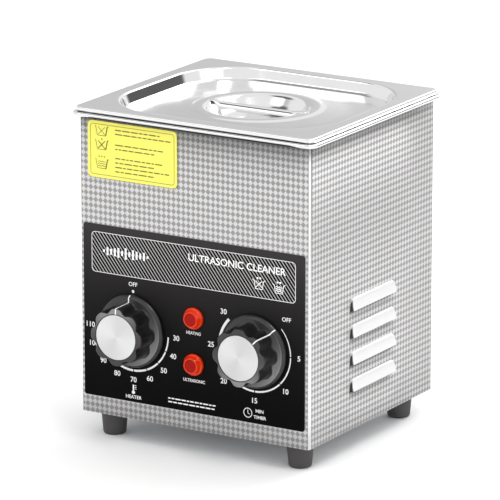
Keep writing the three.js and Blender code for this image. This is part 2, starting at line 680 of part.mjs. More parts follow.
const padX = -tankWidth / 2 - tankSheet - gap;
piece('heater_pad', solid(raised(roundedRectangle(heater.length, heater.height, 4), 0, heater.thickness, 3)
  .rotateX(Math.PI / 2).rotateZ(-Math.PI / 2)
  .translate(padX, 0, tankUnderZ + tankFillet + heater.height / 2 + 4)), finishes.silicone);

// ---------------------------------------------------------------------------------------------
// Generator board on its bracket
// ---------------------------------------------------------------------------------------------

const bracketTop = baseZ + board.lift;
const boardZ = bracketTop + gap;
const boardTop = boardZ + board.thickness;
const bracketHalf = board.width / 2 - 8;
const bracketProfile = [
  [-bracketHalf - 8, 0], [-bracketHalf, 0], [-bracketHalf, board.lift - sheet - gap - 1.2],
  [bracketHalf, board.lift - sheet - gap - 1.2], [bracketHalf, 0], [bracketHalf + 8, 0],
  [bracketHalf + 8, 1.2], [bracketHalf + 1.2, 1.2], [bracketHalf + 1.2, board.lift - sheet - gap],
  [-bracketHalf - 1.2, board.lift - sheet - gap], [-bracketHalf - 1.2, 1.2], [-bracketHalf - 8, 1.2],
];
piece('board_bracket', solid(raised(outline(bracketProfile), -board.depth / 2 + 10, board.depth / 2 - 10)
  .rotateX(Math.PI / 2).translate(0, board.y, baseZ + sheet + gap)), finishes.zinc);

const boardHoles = roundedRectangle(board.width, board.depth, 2);
for (const [sx, sy] of [[-1, -1], [1, -1], [-1, 1], [1, 1]]) {
  boardHoles.holes.push(new THREE.Path()
    .absarc(sx * (board.width / 2 - 4), sy * (board.depth / 2 - 4), 1.7, 0, 2 * Math.PI));
}
piece('generator_board', solid(raised(boardHoles, boardZ, boardTop, 3).translate(0, board.y, 0)), finishes.board);

const partZ = boardTop + gap;
const terminalReach = 7;
const clearance = 4;
const timerRear = frontY + sheet + gap + timer.depth + terminalReach;
const capacitor = { radius: 9, height: 24, x: 36 };
capacitor.y = timerRear + clearance + capacitor.radius;
const transformer = { x: 40, depth: 26, height: 20 };
transformer.y = capacitor.y + capacitor.radius + clearance + transformer.depth / 2;
piece('output_transformer', join(
  block(-14, 14, -7, 7, partZ, partZ + transformer.height),
  cushioned(roundedRectangle(20, transformer.depth, 6), partZ + 3, partZ + transformer.height - 3, 1, 1, 3),
).add(solid(block(-13, 13, -12, 12, partZ, partZ + 3.5))), finishes.copper, [transformer.x, transformer.y, 0]);

const sink = { x: -45, length: 56, base: 3, fins: 5, fin: 1.6, reach: 12, height: 24 };
const comb = join(block(0, sink.base, -sink.length / 2, sink.length / 2, partZ, partZ + sink.height));
const fins = Array.from({ length: sink.fins }, (_, i) => {
  const y = -sink.length / 2 + (i * (sink.length - sink.fin)) / (sink.fins - 1);
  return solid(block(-sink.reach, 0.5, y, y + sink.fin, partZ, partZ + sink.height));
});
piece('heatsink', fins.reduce((body, fin) => body.add(fin), comb), finishes.aluminium, [sink.x, board.y, 0]);

piece('power_transistor', join(
  block(0, 5, -8, 8, partZ + 3.5, partZ + 22),
  ...[-5, 0, 5].map((y) => block(2, 3, y - 0.6, y + 0.6, partZ, partZ + 4)),
), finishes.black, [sink.x + sink.base + gap, board.y, 0]);

piece('main_capacitor', cut(
  solid(turned([
    [0, partZ], [capacitor.radius, partZ], [capacitor.radius, partZ + 2], [capacitor.radius - 0.6, partZ + 2.6],
    [capacitor.radius, partZ + 3.2], [capacitor.radius, partZ + capacitor.height],
    [0, partZ + capacitor.height],
  ], 24)),
  block(-6, 6, -0.5, 0.5, partZ + capacitor.height - 0.4, partZ + capacitor.height + 1),
), finishes.blueWire, [capacitor.x, capacitor.y, 0]);

// ---------------------------------------------------------------------------------------------
// Rear: mains inlet with its fuse drawer, and the power switch
// ---------------------------------------------------------------------------------------------

function powerInlet() {
  const [w, h] = [socket.width / 2, socket.height / 2];
  const mouth = outline([[-w, -h], [w, -h], [w, h - 5], [w - 5, h], [5 - w, h], [-w, h - 5]]);
  const face = gap + inlet.flange;
  const pin = (x, y) => block(x - 1, x + 1, y - 2, y + 2, face - socket.depth - 1, face - 3);
  const tag = (x, y) => block(x - 2.5, x + 2.5, y - 0.4, y + 0.4, -inlet.body - 7, 1 - inlet.body);
  const body = cut(
    join(
      cushioned(roundedRectangle(inlet.width, inlet.height, 2.5), gap, face, 0.5, 1, 3),
      block(-inlet.width / 2 + 1.5, inlet.width / 2 - 1.5, -inlet.height / 2 + 3, inlet.height / 2 - 3,
        -inlet.body, gap + 0.5),
      tag(-7, -6), tag(7, -6), tag(0, -13),
    ),
    raised(mouth, face - socket.depth, face + 1).translate(0, -socket.drop, 0),
    block(-drawer.width / 2 - gap, drawer.width / 2 + gap, drawer.rise - drawer.height / 2 - gap,
      drawer.rise + drawer.height / 2 + gap, face - drawer.length - gap, face + 1),
  );
  return body.add(solid(pin(-7, -socket.drop - 1))).add(solid(pin(7, -socket.drop - 1)))
    .add(solid(pin(0, -socket.drop + 3)));
}
piece('power_inlet', onRear(shell(powerInlet()), inlet.x, inlet.z), finishes.black);

const drawerFace = gap + inlet.flange + 0.8;
piece('fuse_drawer', onRear(shell(cut(
  join(block(-drawer.width / 2, drawer.width / 2, -drawer.height / 2, drawer.height / 2,
    drawerFace - 0.8 - drawer.length, drawerFace)),
  block(-drawer.width / 2 + 2, drawer.width / 2 - 2, -1.5, drawer.height, drawerFace - drawer.length + 2, drawerFace - 4),
  block(-4, 4, -drawer.height / 2 - 1, -drawer.height / 2 + 1.2, drawerFace - 2, drawerFace + 1),
)).translate(0, drawer.rise, 0), inlet.x, inlet.z), finishes.black);

function switchFrame() {
  const face = gap + rockerFrame.flange;
  return cut(
    join(
      cushioned(roundedRectangle(rockerFrame.width, rockerFrame.height, 1.5), gap, face, 0.4, 1, 2),
      block(-rockerFrame.width / 2 + 1.5, rockerFrame.width / 2 - 1.5, -rockerFrame.height / 2 + 1.5,
        rockerFrame.height / 2 - 1.5, -rockerFrame.body, gap + 0.5),
      ...[-6, 0, 6].map((y) => block(-2.4, 2.4, y - 0.4, y + 0.4, -rockerFrame.body - 7, 1 - rockerFrame.body)),
    ),
    block(-rocker.width / 2 - gap, rocker.width / 2 + gap, -rocker.height / 2 - 0.6, rocker.height / 2 + 0.6,
      -rockerFrame.body + 3, face + 1),
  );
}
piece('switch_frame', onRear(shell(switchFrame()), rocker.x, rocker.z), finishes.black);

// The rocker turns about a pin that lies just behind the panel's face.
const pivot = -1.5;
const rockerHalf = rocker.height / 2 - 0.5;
const rockerProfile = outline([
  [-rockerHalf, 4.6], [0, 3.4], [rockerHalf, 4.6], [rockerHalf - 2, -3], [0, -5.5], [2 - rockerHalf, -3],
]);
piece('switch_rocker', onRear(
  raised(rockerProfile, -rocker.width / 2, rocker.width / 2)
    .applyMatrix4(new THREE.Matrix4().makeBasis(
      new THREE.Vector3(0, 1, 0), new THREE.Vector3(0, 0, 1), new THREE.Vector3(1, 0, 0)))
    .rotateX(THREE.MathUtils.degToRad(rocker.tilt))
    .translate(0, 0, pivot),
  rocker.x, rocker.z), finishes.black);

// ---------------------------------------------------------------------------------------------
// Leads inside the housing
// ---------------------------------------------------------------------------------------------

const wire = 1.2;
const tabX = stack.ring + 5;
const tagsY = rearY - inlet.body - 8.5;
piece('transducer_lead', solid(lead([
  [tabX, 0, electrodeZ - gap - 0.2], [tabX, 0.5, electrodeZ - 6], [tabX, -6, 0.5 * (electrodeZ + partZ)],
  [tabX - 4, -12, partZ + 8], [tabX - 4, -12, partZ + 3], [tabX - 4, -12, partZ + gap],
], wire, 12)), finishes.redWire);
piece('mains_lead', solid(lead([
  [inlet.x - 7, tagsY, inlet.z - 6], [inlet.x - 12, tagsY - 1.5, inlet.z - 8],
  [inlet.x - 22, tagsY - 3, inlet.z - 12], [inlet.x - 28, board.y + 31, partZ + 9],
  [inlet.x - 28, board.y + 30, partZ + 3], [inlet.x - 28, board.y + 30, partZ + gap],
], wire, 12)), finishes.blueWire);

// The whole object is centred front to back over the origin, because the dials stand out further
// than anything at the rear.
const extent = new THREE.Box3().setFromObject(model);
model.position.y = -(extent.min.y + extent.max.y) / 2;

export default model;
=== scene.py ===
"""Visual model of a bench-top ultrasonic cleaner for jewellery work.

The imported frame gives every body, joint and level. The classes below build the pieces that show:
the embossed steel wrap, the pressed tank and lid, the printed control panel, the dials, the pilot
lamps, the care label, the feet and the fittings at the back. Sizes in the classes are millimetres
in the frame's own axes: X to the right, Y to the back and Z up, with the soles of the feet at zero.
"""

import logging
import math
from dataclasses import dataclass, field
from enum import Enum
from typing import Any

import bmesh
import bpy
import numpy as np
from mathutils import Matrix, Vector


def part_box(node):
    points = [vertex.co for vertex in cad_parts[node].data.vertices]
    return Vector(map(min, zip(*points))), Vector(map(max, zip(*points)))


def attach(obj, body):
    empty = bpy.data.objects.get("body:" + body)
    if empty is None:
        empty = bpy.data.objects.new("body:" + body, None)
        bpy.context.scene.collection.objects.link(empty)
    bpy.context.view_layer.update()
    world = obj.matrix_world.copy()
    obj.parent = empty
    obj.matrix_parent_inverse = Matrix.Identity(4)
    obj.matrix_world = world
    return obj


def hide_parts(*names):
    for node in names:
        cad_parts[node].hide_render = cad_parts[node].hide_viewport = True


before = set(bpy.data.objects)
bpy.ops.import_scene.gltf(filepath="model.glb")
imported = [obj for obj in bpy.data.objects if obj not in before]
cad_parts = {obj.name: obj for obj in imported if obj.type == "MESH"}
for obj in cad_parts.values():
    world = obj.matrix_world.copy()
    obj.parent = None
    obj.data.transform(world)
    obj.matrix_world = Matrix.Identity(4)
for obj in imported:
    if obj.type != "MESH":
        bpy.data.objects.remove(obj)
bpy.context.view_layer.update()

log = logging.getLogger("ultrasonic_cleaner")

MM = 0.001
Array = np.ndarray
Colour = tuple[float, float, float, float]
INK = 0.04  # thickness of every printed line, in millimetres


# ---------------------------------------------------------------------------------------------
# Finishes
# ---------------------------------------------------------------------------------------------


def to_linear(hex_colour: str) -> Colour:
    """Turns an sRGB colour into linear light.

    Each channel is divided by 12.92 below 0.04045, and above it follows the 2.4 power.

    Args:
        hex_colour: The colour as "#RRGGBB".

    Returns:
        Red, green, blue and alpha in linear light.
    """
    channels = [int(hex_colour[i : i + 2], 16) / 255 for i in (1, 3, 5)]
    red, green, blue = (c / 12.92 if c <= 0.04045 else ((c + 0.055) / 1.055) ** 2.4 for c in channels)
    return (red, green, blue, 1.0)


def add_node(
    tree: bpy.types.NodeTree,
    kind: str,
    settings: dict[Any, Any] | None = None,
    links: dict[Any, bpy.types.NodeSocket] | None = None,
) -> bpy.types.Node:
    """Adds one node, sets it and joins its inputs.

    Args:
        tree: The node tree that gets the node.
        kind: The node's class name.
        settings: Values by property name, or by input name or number.
        links: Output sockets by the name or number of the input that they feed.

    Returns:
        The new node.
    """
    node = tree.nodes.new(kind)
    for key, value in (settings or {}).items():
        if isinstance(key, str) and hasattr(node, key):
            setattr(node, key, value)
        else:
            node.inputs[key].default_value = value
    for key, source in (links or {}).items():
        tree.links.new(source, node.inputs[key])
    return node


@dataclass(frozen=True)
class Finish:
    """A real material and how its surface was made.

    The base finish is a moulded, cast or coated surface: a fine grain in relief, and a slow
    variation of colour and gloss.
    """

    name: str
    colour: str
    roughness: float
    metallic: float = 0.0
    ior: float = 1.5
    specular: float = 0.5
    coat: float = 0.0
    grain: float = 0.6
    relief: float = 0.01
    mottle: float = 0.08
    patch: float = 14.0
    gloss_spread: float = 0.12

    def make(self) -> bpy.types.Material:
        """Builds the material, or takes it if it is there already.

        Returns:
            The material.
        """
        known = bpy.data.materials.get(self.name)
        if known:
            return known
        material = bpy.data.materials.new(self.name)
        material.use_nodes = True
        tree = material.node_tree
        tree.nodes.clear()
        settings = {
            "Base Color": to_linear(self.colour),
            "Roughness": self.roughness,
            "Metallic": self.metallic,
            "Coat Weight": self.coat,
        }
        if self.metallic == 0.0:
            settings["IOR"] = self.ior
            settings["Specular IOR Level"] = self.specular
        shader = add_node(tree, "ShaderNodeBsdfPrincipled", settings)
        add_node(tree, "ShaderNodeOutputMaterial", links={"Surface": shader.outputs["BSDF"]})
        self.detail(tree, shader)
        return material

    def detail(self, tree: bpy.types.NodeTree, shader: bpy.types.Node) -> None:
        """Adds the grain and the mottle.

        Args:
            tree: The material's node tree.
            shader: Its surface shader.
        """
        place = add_node(tree, "ShaderNodeTexCoord").outputs["Object"]
        grain = add_node(
            tree,
            "ShaderNodeTexNoise",
            {"Scale": 1 / (self.grain * MM), "Detail": 3.0, "Roughness": 0.6},
            {"Vector": place},
        )
        self.emboss(tree, shader, grain.outputs["Fac"], self.relief)
        self.mottled(tree, shader, place, to_linear(self.colour))

    def mottled(
        self, tree: bpy.types.NodeTree, shader: bpy.types.Node, place: bpy.types.NodeSocket, colour: Colour
    ) -> None:
        """Varies colour and gloss in soft patches, as handling and making leave them.

        Args:
            tree: The material's node tree.
            shader: Its surface shader.
            place: The coordinates that the patches lie in.
            colour: The mean colour, in linear light.
        """
        patches = add_node(
            tree, "ShaderNodeTexNoise", {"Scale": 1 / (self.patch * MM), "Detail": 2.0}, {"Vector": place}
        )
        lower = tuple(c * (1 - self.mottle) for c in colour[:3]) + (1.0,)
        upper = tuple(min(1.0, c * (1 + self.mottle)) for c in colour[:3]) + (1.0,)
        blend = add_node(
            tree,
            "ShaderNodeMix",
            {"data_type": "RGBA", 6: lower, 7: upper},
            {0: patches.outputs["Fac"]},
        )
        tree.links.new(blend.outputs[2], shader.inputs["Base Color"])
        gloss = add_node(
            tree,
            "ShaderNodeMapRange",
            {
                "From Min": 0.3,
                "From Max": 0.7,
                "To Min": self.roughness * (1 - self.gloss_spread),
                "To Max": self.roughness * (1 + self.gloss_spread),
            },
            {"Value": patches.outputs["Fac"]},
        )
        tree.links.new(gloss.outputs["Result"], shader.inputs["Roughness"])

    @staticmethod
    def emboss(
        tree: bpy.types.NodeTree, shader: bpy.types.Node, height: bpy.types.NodeSocket, relief: float
    ) -> None:
        """Sets a relief of that many millimetres on the shader.

        Args:
            tree: The material's node tree.
            shader: Its surface shader.
            height: The height from 0 to 1.
            relief: The height of 1, in millimetres.
        """
        bump = add_node(
            tree, "ShaderNodeBump", {"Strength": 1.0, "Distance": relief * MM}, {"Height": height}
        )
        tree.links.new(bump.outputs["Normal"], shader.inputs["Normal"])


@dataclass(frozen=True)
class DrawnMetal(Finish):
    """Sheet metal with fine lines along one direction from rolling, drawing or polishing."""

    line: float = 0.35
    stretch: tuple[float, float, float] = (0.04, 1.0, 1.0)

    def detail(self, tree: bpy.types.NodeTree, shader: bpy.types.Node) -> None:
        """Adds the lines, which are drawn coarser than the real ones so that they show.

        Args:
            tree: The material's node tree.
            shader: Its surface shader.
        """
        place = add_node(tree, "ShaderNodeTexCoord").outputs["Object"]
        drawn = add_node(tree, "ShaderNodeMapping", {"Scale": self.stretch}, {"Vector": place})
        lines = add_node(
            tree,
            "ShaderNodeTexNoise",
            {"Scale": 1 / (self.line * MM), "Detail": 2.0},
            {"Vector": drawn.outputs["Vector"]},
        )
        self.emboss(tree, shader, lines.outputs["Fac"], self.relief)
        self.mottled(tree, shader, place, to_linear(self.colour))


@dataclass(frozen=True)
class EmbossedSteel(Finish):
    """Sheet steel rolled between engraved rolls: diamonds that lie alternately bright and dull.

    A point at u along the sheet and v up it is bright where cos(2 pi v / rise) is above
    cos(2 pi u / pitch), which divides the sheet into diamonds.
    """

    dull: str = "#9C9A9A"
    bare: str = "#E9E9E9"
    # The colour of the painted shade, mixed in by the sheet's painted-shade attribute.
    painted_shade: str = "#2E2E2E"
    pitch: float = 3.55
    rise: float = 3.9

    def detail(self, tree: bpy.types.NodeTree, shader: bpy.types.Node) -> None:
        """Adds the diamonds where the sheet's "embossed" attribute is 1, and paints shade in a dark colour
        where the sheet's painted-shade attribute says so.

        Where "embossed" is 0 the sheet was stretched flat by a bend or a louvre, and is bright.

        Args:
            tree: The material's node tree.
            shader: Its surface shader.
        """
        sheet = add_node(tree, "ShaderNodeUVMap", {"uv_map": "sheet"})
        axes = add_node(tree, "ShaderNodeSeparateXYZ", links={0: sheet.outputs["UV"]})
        waves = []
        for axis, length in (("X", self.pitch), ("Y", self.rise)):
            phase = add_node(
                tree,
                "ShaderNodeMath",
                {"operation": "MULTIPLY", 1: 2 * math.pi / length},
                {0: axes.outputs[axis]},
            )
            waves.append(add_node(tree, "ShaderNodeMath", {"operation": "COSINE"}, {0: phase.outputs[0]}))
        level = add_node(
            tree,
            "ShaderNodeMath",
            {"operation": "SUBTRACT"},
            {0: waves[1].outputs[0], 1: waves[0].outputs[0]},
        )
        diamond = add_node(
            tree, "ShaderNodeMapRange", {"From Min": -0.25, "From Max": 0.25}, {"Value": level.outputs[0]}
        )
        mask = add_node(tree, "ShaderNodeAttribute", {"attribute_name": "embossed"})
        painted_shade = add_node(tree, "ShaderNodeAttribute", {"attribute_name": "painted_shade"})
        plain = add_node(
            tree, "ShaderNodeMath", {"operation": "SUBTRACT", 0: 1.0}, {1: mask.outputs["Fac"]}
        )
        bright = add_node(
            tree,
            "ShaderNodeMath",
            {"operation": "MAXIMUM"},
            {0: diamond.outputs["Result"], 1: plain.outputs[0]},
        )
        tone = add_node(
            tree,
            "ShaderNodeMix",
            {"data_type": "RGBA", 6: to_linear(self.dull), 7: to_linear(self.colour)},
            {0: diamond.outputs["Result"]},
        )
        stretched = add_node(
            tree,
            "ShaderNodeMix",
            {"data_type": "RGBA", 7: to_linear(self.bare)},
            {0: plain.outputs[0], 6: tone.outputs[2]},
        )
        # Painted shade: the dark colour mixed over the steel where the painted-shade attribute is above 0.
        shaded = add_node(
            tree,
            "ShaderNodeMix",
            {"data_type": "RGBA", 7: to_linear(self.painted_shade)},
            {0: painted_shade.outputs["Fac"], 6: stretched.outputs[2]},
        )
        tree.links.new(shaded.outputs[2], shader.inputs["Base Color"])
        gloss = add_node(
            tree,
            "ShaderNodeMapRange",
            {"To Min": self.roughness * 1.25, "To Max": self.roughness},
            {"Value": bright.outputs[0]},
        )
        tree.links.new(gloss.outputs["Result"], shader.inputs["Roughness"])
        self.emboss(tree, shader, bright.outputs[0], self.relief)


@dataclass(frozen=True)
class LatheFaced(Finish):
    """A face turned on a lathe, or moulded against one: fine rings about a centre."""

    centre: tuple[float, float] = (0.0, 0.0)
    ring: float = 0.45
    octaves: float = 2.0

    def lay_rings(self, tree: bpy.types.NodeTree, shader: bpy.types.Node) -> bpy.types.NodeSocket:
        """Adds the rings in relief, in the plane of X and Z.

        Args:
            tree: The material's node tree.
            shader: Its surface shader.

        Returns:
            The angle round the centre, in radians from X towards Z.
        """
        place = add_node(tree, "ShaderNodeTexCoord").outputs["Object"]
        offset = (-self.centre[0] * MM, 0.0, -self.centre[1] * MM)
        centred = add_node(tree, "ShaderNodeMapping", {"Location": offset}, {"Vector": place})
        axes = add_node(tree, "ShaderNodeSeparateXYZ", links={0: centred.outputs["Vector"]})
        flat = add_node(tree, "ShaderNodeCombineXYZ", links={0: axes.outputs["X"], 2: axes.outputs["Z"]})
        radius = add_node(tree, "ShaderNodeVectorMath", {"operation": "LENGTH"}, {0: flat.outputs[0]})
        rings = add_node(
            tree,
            "ShaderNodeTexNoise",
            {"noise_dimensions": "1D", "Scale": 1 / (self.ring * MM), "Detail": self.octaves},
            {"W": radius.outputs["Value"]},
        )
        self.emboss(tree, shader, rings.outputs["Fac"], self.relief)
        angle = add_node(
            tree, "ShaderNodeMath", {"operation": "ARCTAN2"}, {0: axes.outputs["Z"], 1: axes.outputs["X"]}
        )
        return angle.outputs[0]

    @staticmethod
    def swell(tree: bpy.types.NodeTree, angle: bpy.types.NodeSocket) -> bpy.types.NodeSocket:
        """Adds a share that swells and sinks with an angle: (cos a + 1) / 2.

        Args:
            tree: The material's node tree.
            angle: The angle.

        Returns:
            The share, from 0 to 1.
        """
        wave = add_node(tree, "ShaderNodeMath", {"operation": "COSINE"}, {0: angle})
        share = add_node(
            tree, "ShaderNodeMapRange", {"From Min": -1.0, "From Max": 1.0}, {"Value": wave.outputs[0]}
        )
        return share.outputs["Result"]


@dataclass(frozen=True)
class SpunMetalPaintedFan(LatheFaced):
    """Metal faced on a lathe: fine rings, and a painted reflection, a soft double fan painted about the
    centre.
    """

    # How far the painted fan darkens the colour, and where it turns.
    painted_fan: float = 0.07
    painted_fan_turn: float = 0.9

    def detail(self, tree: bpy.types.NodeTree, shader: bpy.types.Node) -> None:
        """Adds the rings, and the painted reflection as a swell of twice the angle.

        Args:
            tree: The material's node tree.
            shader: Its surface shader.
        """
        angle = self.lay_rings(tree, shader)
        doubled = add_node(
            tree, "ShaderNodeMath", {"operation": "MULTIPLY_ADD", 1: 2.0, 2: self.painted_fan_turn}, {0: angle}
        )
        share = self.swell(tree, doubled.outputs[0])
        base = to_linear(self.colour)
        lower = tuple(c * (1 - 2 * self.painted_fan) for c in base[:3]) + (1.0,)
        tone = add_node(tree, "ShaderNodeMix", {"data_type": "RGBA", 6: lower, 7: base}, {0: share})
        tree.links.new(tone.outputs[2], shader.inputs["Base Color"])


@dataclass(frozen=True)
class FacedPlasticPaintedHighlight(LatheFaced):
    """Black plastic with the faint rings that the mould's turned face leaves, and a painted highlight: a soft
    grey fan painted about a centre."""

    ring: float = 0.5
    octaves: float = 1.0
    # The painted highlight's colour, where the fan is full.
    painted_highlight: str = "#7E7E80"
    turn: float = 0.0
    narrow: float = 4.0

    def detail(self, tree: bpy.types.NodeTree, shader: bpy.types.Node) -> None:
        """Adds the rings, and the painted highlight as the swell of a - turn, raised to a power that narrows
        it.

        Args:
            tree: The material's node tree.
            shader: Its surface shader.
        """
        angle = self.lay_rings(tree, shader)
        from_turn = add_node(
            tree, "ShaderNodeMath", {"operation": "SUBTRACT", 1: math.radians(self.turn)}, {0: angle}
        )
        share = self.swell(tree, from_turn.outputs[0])
        painted_fan = add_node(tree, "ShaderNodeMath", {"operation": "POWER", 1: self.narrow}, {0: share})
        tone = add_node(
            tree,
            "ShaderNodeMix",
            {"data_type": "RGBA", 6: to_linear(self.colour), 7: to_linear(self.painted_highlight)},
            {0: painted_fan.outputs[0]},
        )
        tree.links.new(tone.outputs[2], shader.inputs["Base Color"])


@dataclass(frozen=True)
class StripedFilm(Finish):
    """Printed film with fine slanting lines: the distance across the lines, divided by their pitch,
    leaves a fraction, and the line is where that fraction is below its share."""

    ink: str = "#B4B4B6"
    pitch: float = 2.0
    slant: float = 52.0
    share: float = 0.27

    def detail(self, tree: bpy.types.NodeTree, shader: bpy.types.Node) -> None:
        """Adds the lines in the plane of X and Z.

        Args:
            tree: The material's node tree.
            shader: Its surface shader.
        """
        place = add_node(tree, "ShaderNodeTexCoord").outputs["Object"]
        axes = add_node(tree, "ShaderNodeSeparateXYZ", links={0: place})
        slant = math.radians(self.slant)
        across = add_node(
            tree,
            "ShaderNodeMath",
            {"operation": "MULTIPLY", 1: math.sin(slant) / (self.pitch * MM)},
            {0: axes.outputs["X"]},
        )
        turns = add_node(
            tree,
            "ShaderNodeMath",
            {"operation": "MULTIPLY_ADD", 1: math.cos(slant) / (self.pitch * MM)},
            {0: axes.outputs["Z"], 2: across.outputs[0]},
        )
        part = add_node(tree, "ShaderNodeMath", {"operation": "FRACT"}, {0: turns.outputs[0]})
        line = add_node(
            tree,
            "ShaderNodeMapRange",
            {"From Min": self.share * 0.8, "From Max": self.share * 1.2, "To Min": 1.0, "To Max": 0.0},
            {"Value": part.outputs[0]},
        )
        tone = add_node(
            tree,
            "ShaderNodeMix",
            {"data_type": "RGBA", 6: to_linear(self.colour), 7: to_linear(self.ink)},
            {0: line.outputs["Result"]},
        )
        tree.links.new(tone.outputs[2], shader.inputs["Base Color"])


@dataclass(frozen=True)
class PaintedSheenFilm(Finish):
    """Printed film with a painted sheen: its colour is painted from charcoal at its top to black at its
    bottom, with the square of the height, standing in for the room's reflection."""

    # The colour of the painted sheen at the film's top.
    top: str = "#383636"
    low: float = 27.7
    high: float = 138.7

    def detail(self, tree: bpy.types.NodeTree, shader: bpy.types.Node) -> None:
        """Adds the painted sheen as a fade along Z, and the film's fine grain.

        Args:
            tree: The material's node tree.
            shader: Its surface shader.
        """
        place = add_node(tree, "ShaderNodeTexCoord").outputs["Object"]
        axes = add_node(tree, "ShaderNodeSeparateXYZ", links={0: place})
        height = add_node(
            tree,
            "ShaderNodeMapRange",
            {"From Min": self.low * MM, "From Max": self.high * MM},
            {"Value": axes.outputs["Z"]},
        )
        share = add_node(
            tree, "ShaderNodeMath", {"operation": "POWER", 1: 2.0}, {0: height.outputs["Result"]}
        )
        tone = add_node(
            tree,
            "ShaderNodeMix",
            {"data_type": "RGBA", 6: to_linear(self.colour), 7: to_linear(self.top)},
            {0: share.outputs[0]},
        )
        tree.links.new(tone.outputs[2], shader.inputs["Base Color"])
        grain = add_node(
            tree, "ShaderNodeTexNoise", {"Scale": 1 / (self.grain * MM), "Detail": 2.0}, {"Vector": place}
        )
        self.emboss(tree, shader, grain.outputs["Fac"], self.relief)


@dataclass(frozen=True)
class CircuitLaminate(Finish):
    """Glass-epoxy board with copper tracks under green solder resist."""

    track: str = "#2F8A4E"
    pitch: float = 2.54

    def detail(self, tree: bpy.types.NodeTree, shader: bpy.types.Node) -> None:
        """Adds tracks as the edges of cells that are two grid pitches wide.

        Args:
            tree: The material's node tree.
            shader: Its surface shader.
        """
        place = add_node(tree, "ShaderNodeTexCoord").outputs["Object"]
        cells = add_node(
            tree,
            "ShaderNodeTexVoronoi",
            {"distance": "CHEBYCHEV", "Scale": 1 / (2 * self.pitch * MM), "Randomness": 0.7},
            {"Vector": place},
        )
        edge = add_node(
            tree,
            "ShaderNodeMapRange",
            {"From Min": 0.42, "From Max": 0.5},
            {"Value": cells.outputs["Distance"]},
        )
        tone = add_node(
            tree,
            "ShaderNodeMix",
            {"data_type": "RGBA", 6: to_linear(self.colour), 7: to_linear(self.track)},
            {0: edge.outputs["Result"]},
        )
        tree.links.new(tone.outputs[2], shader.inputs["Base Color"])
        self.emboss(tree, shader, edge.outputs["Result"], self.relief)


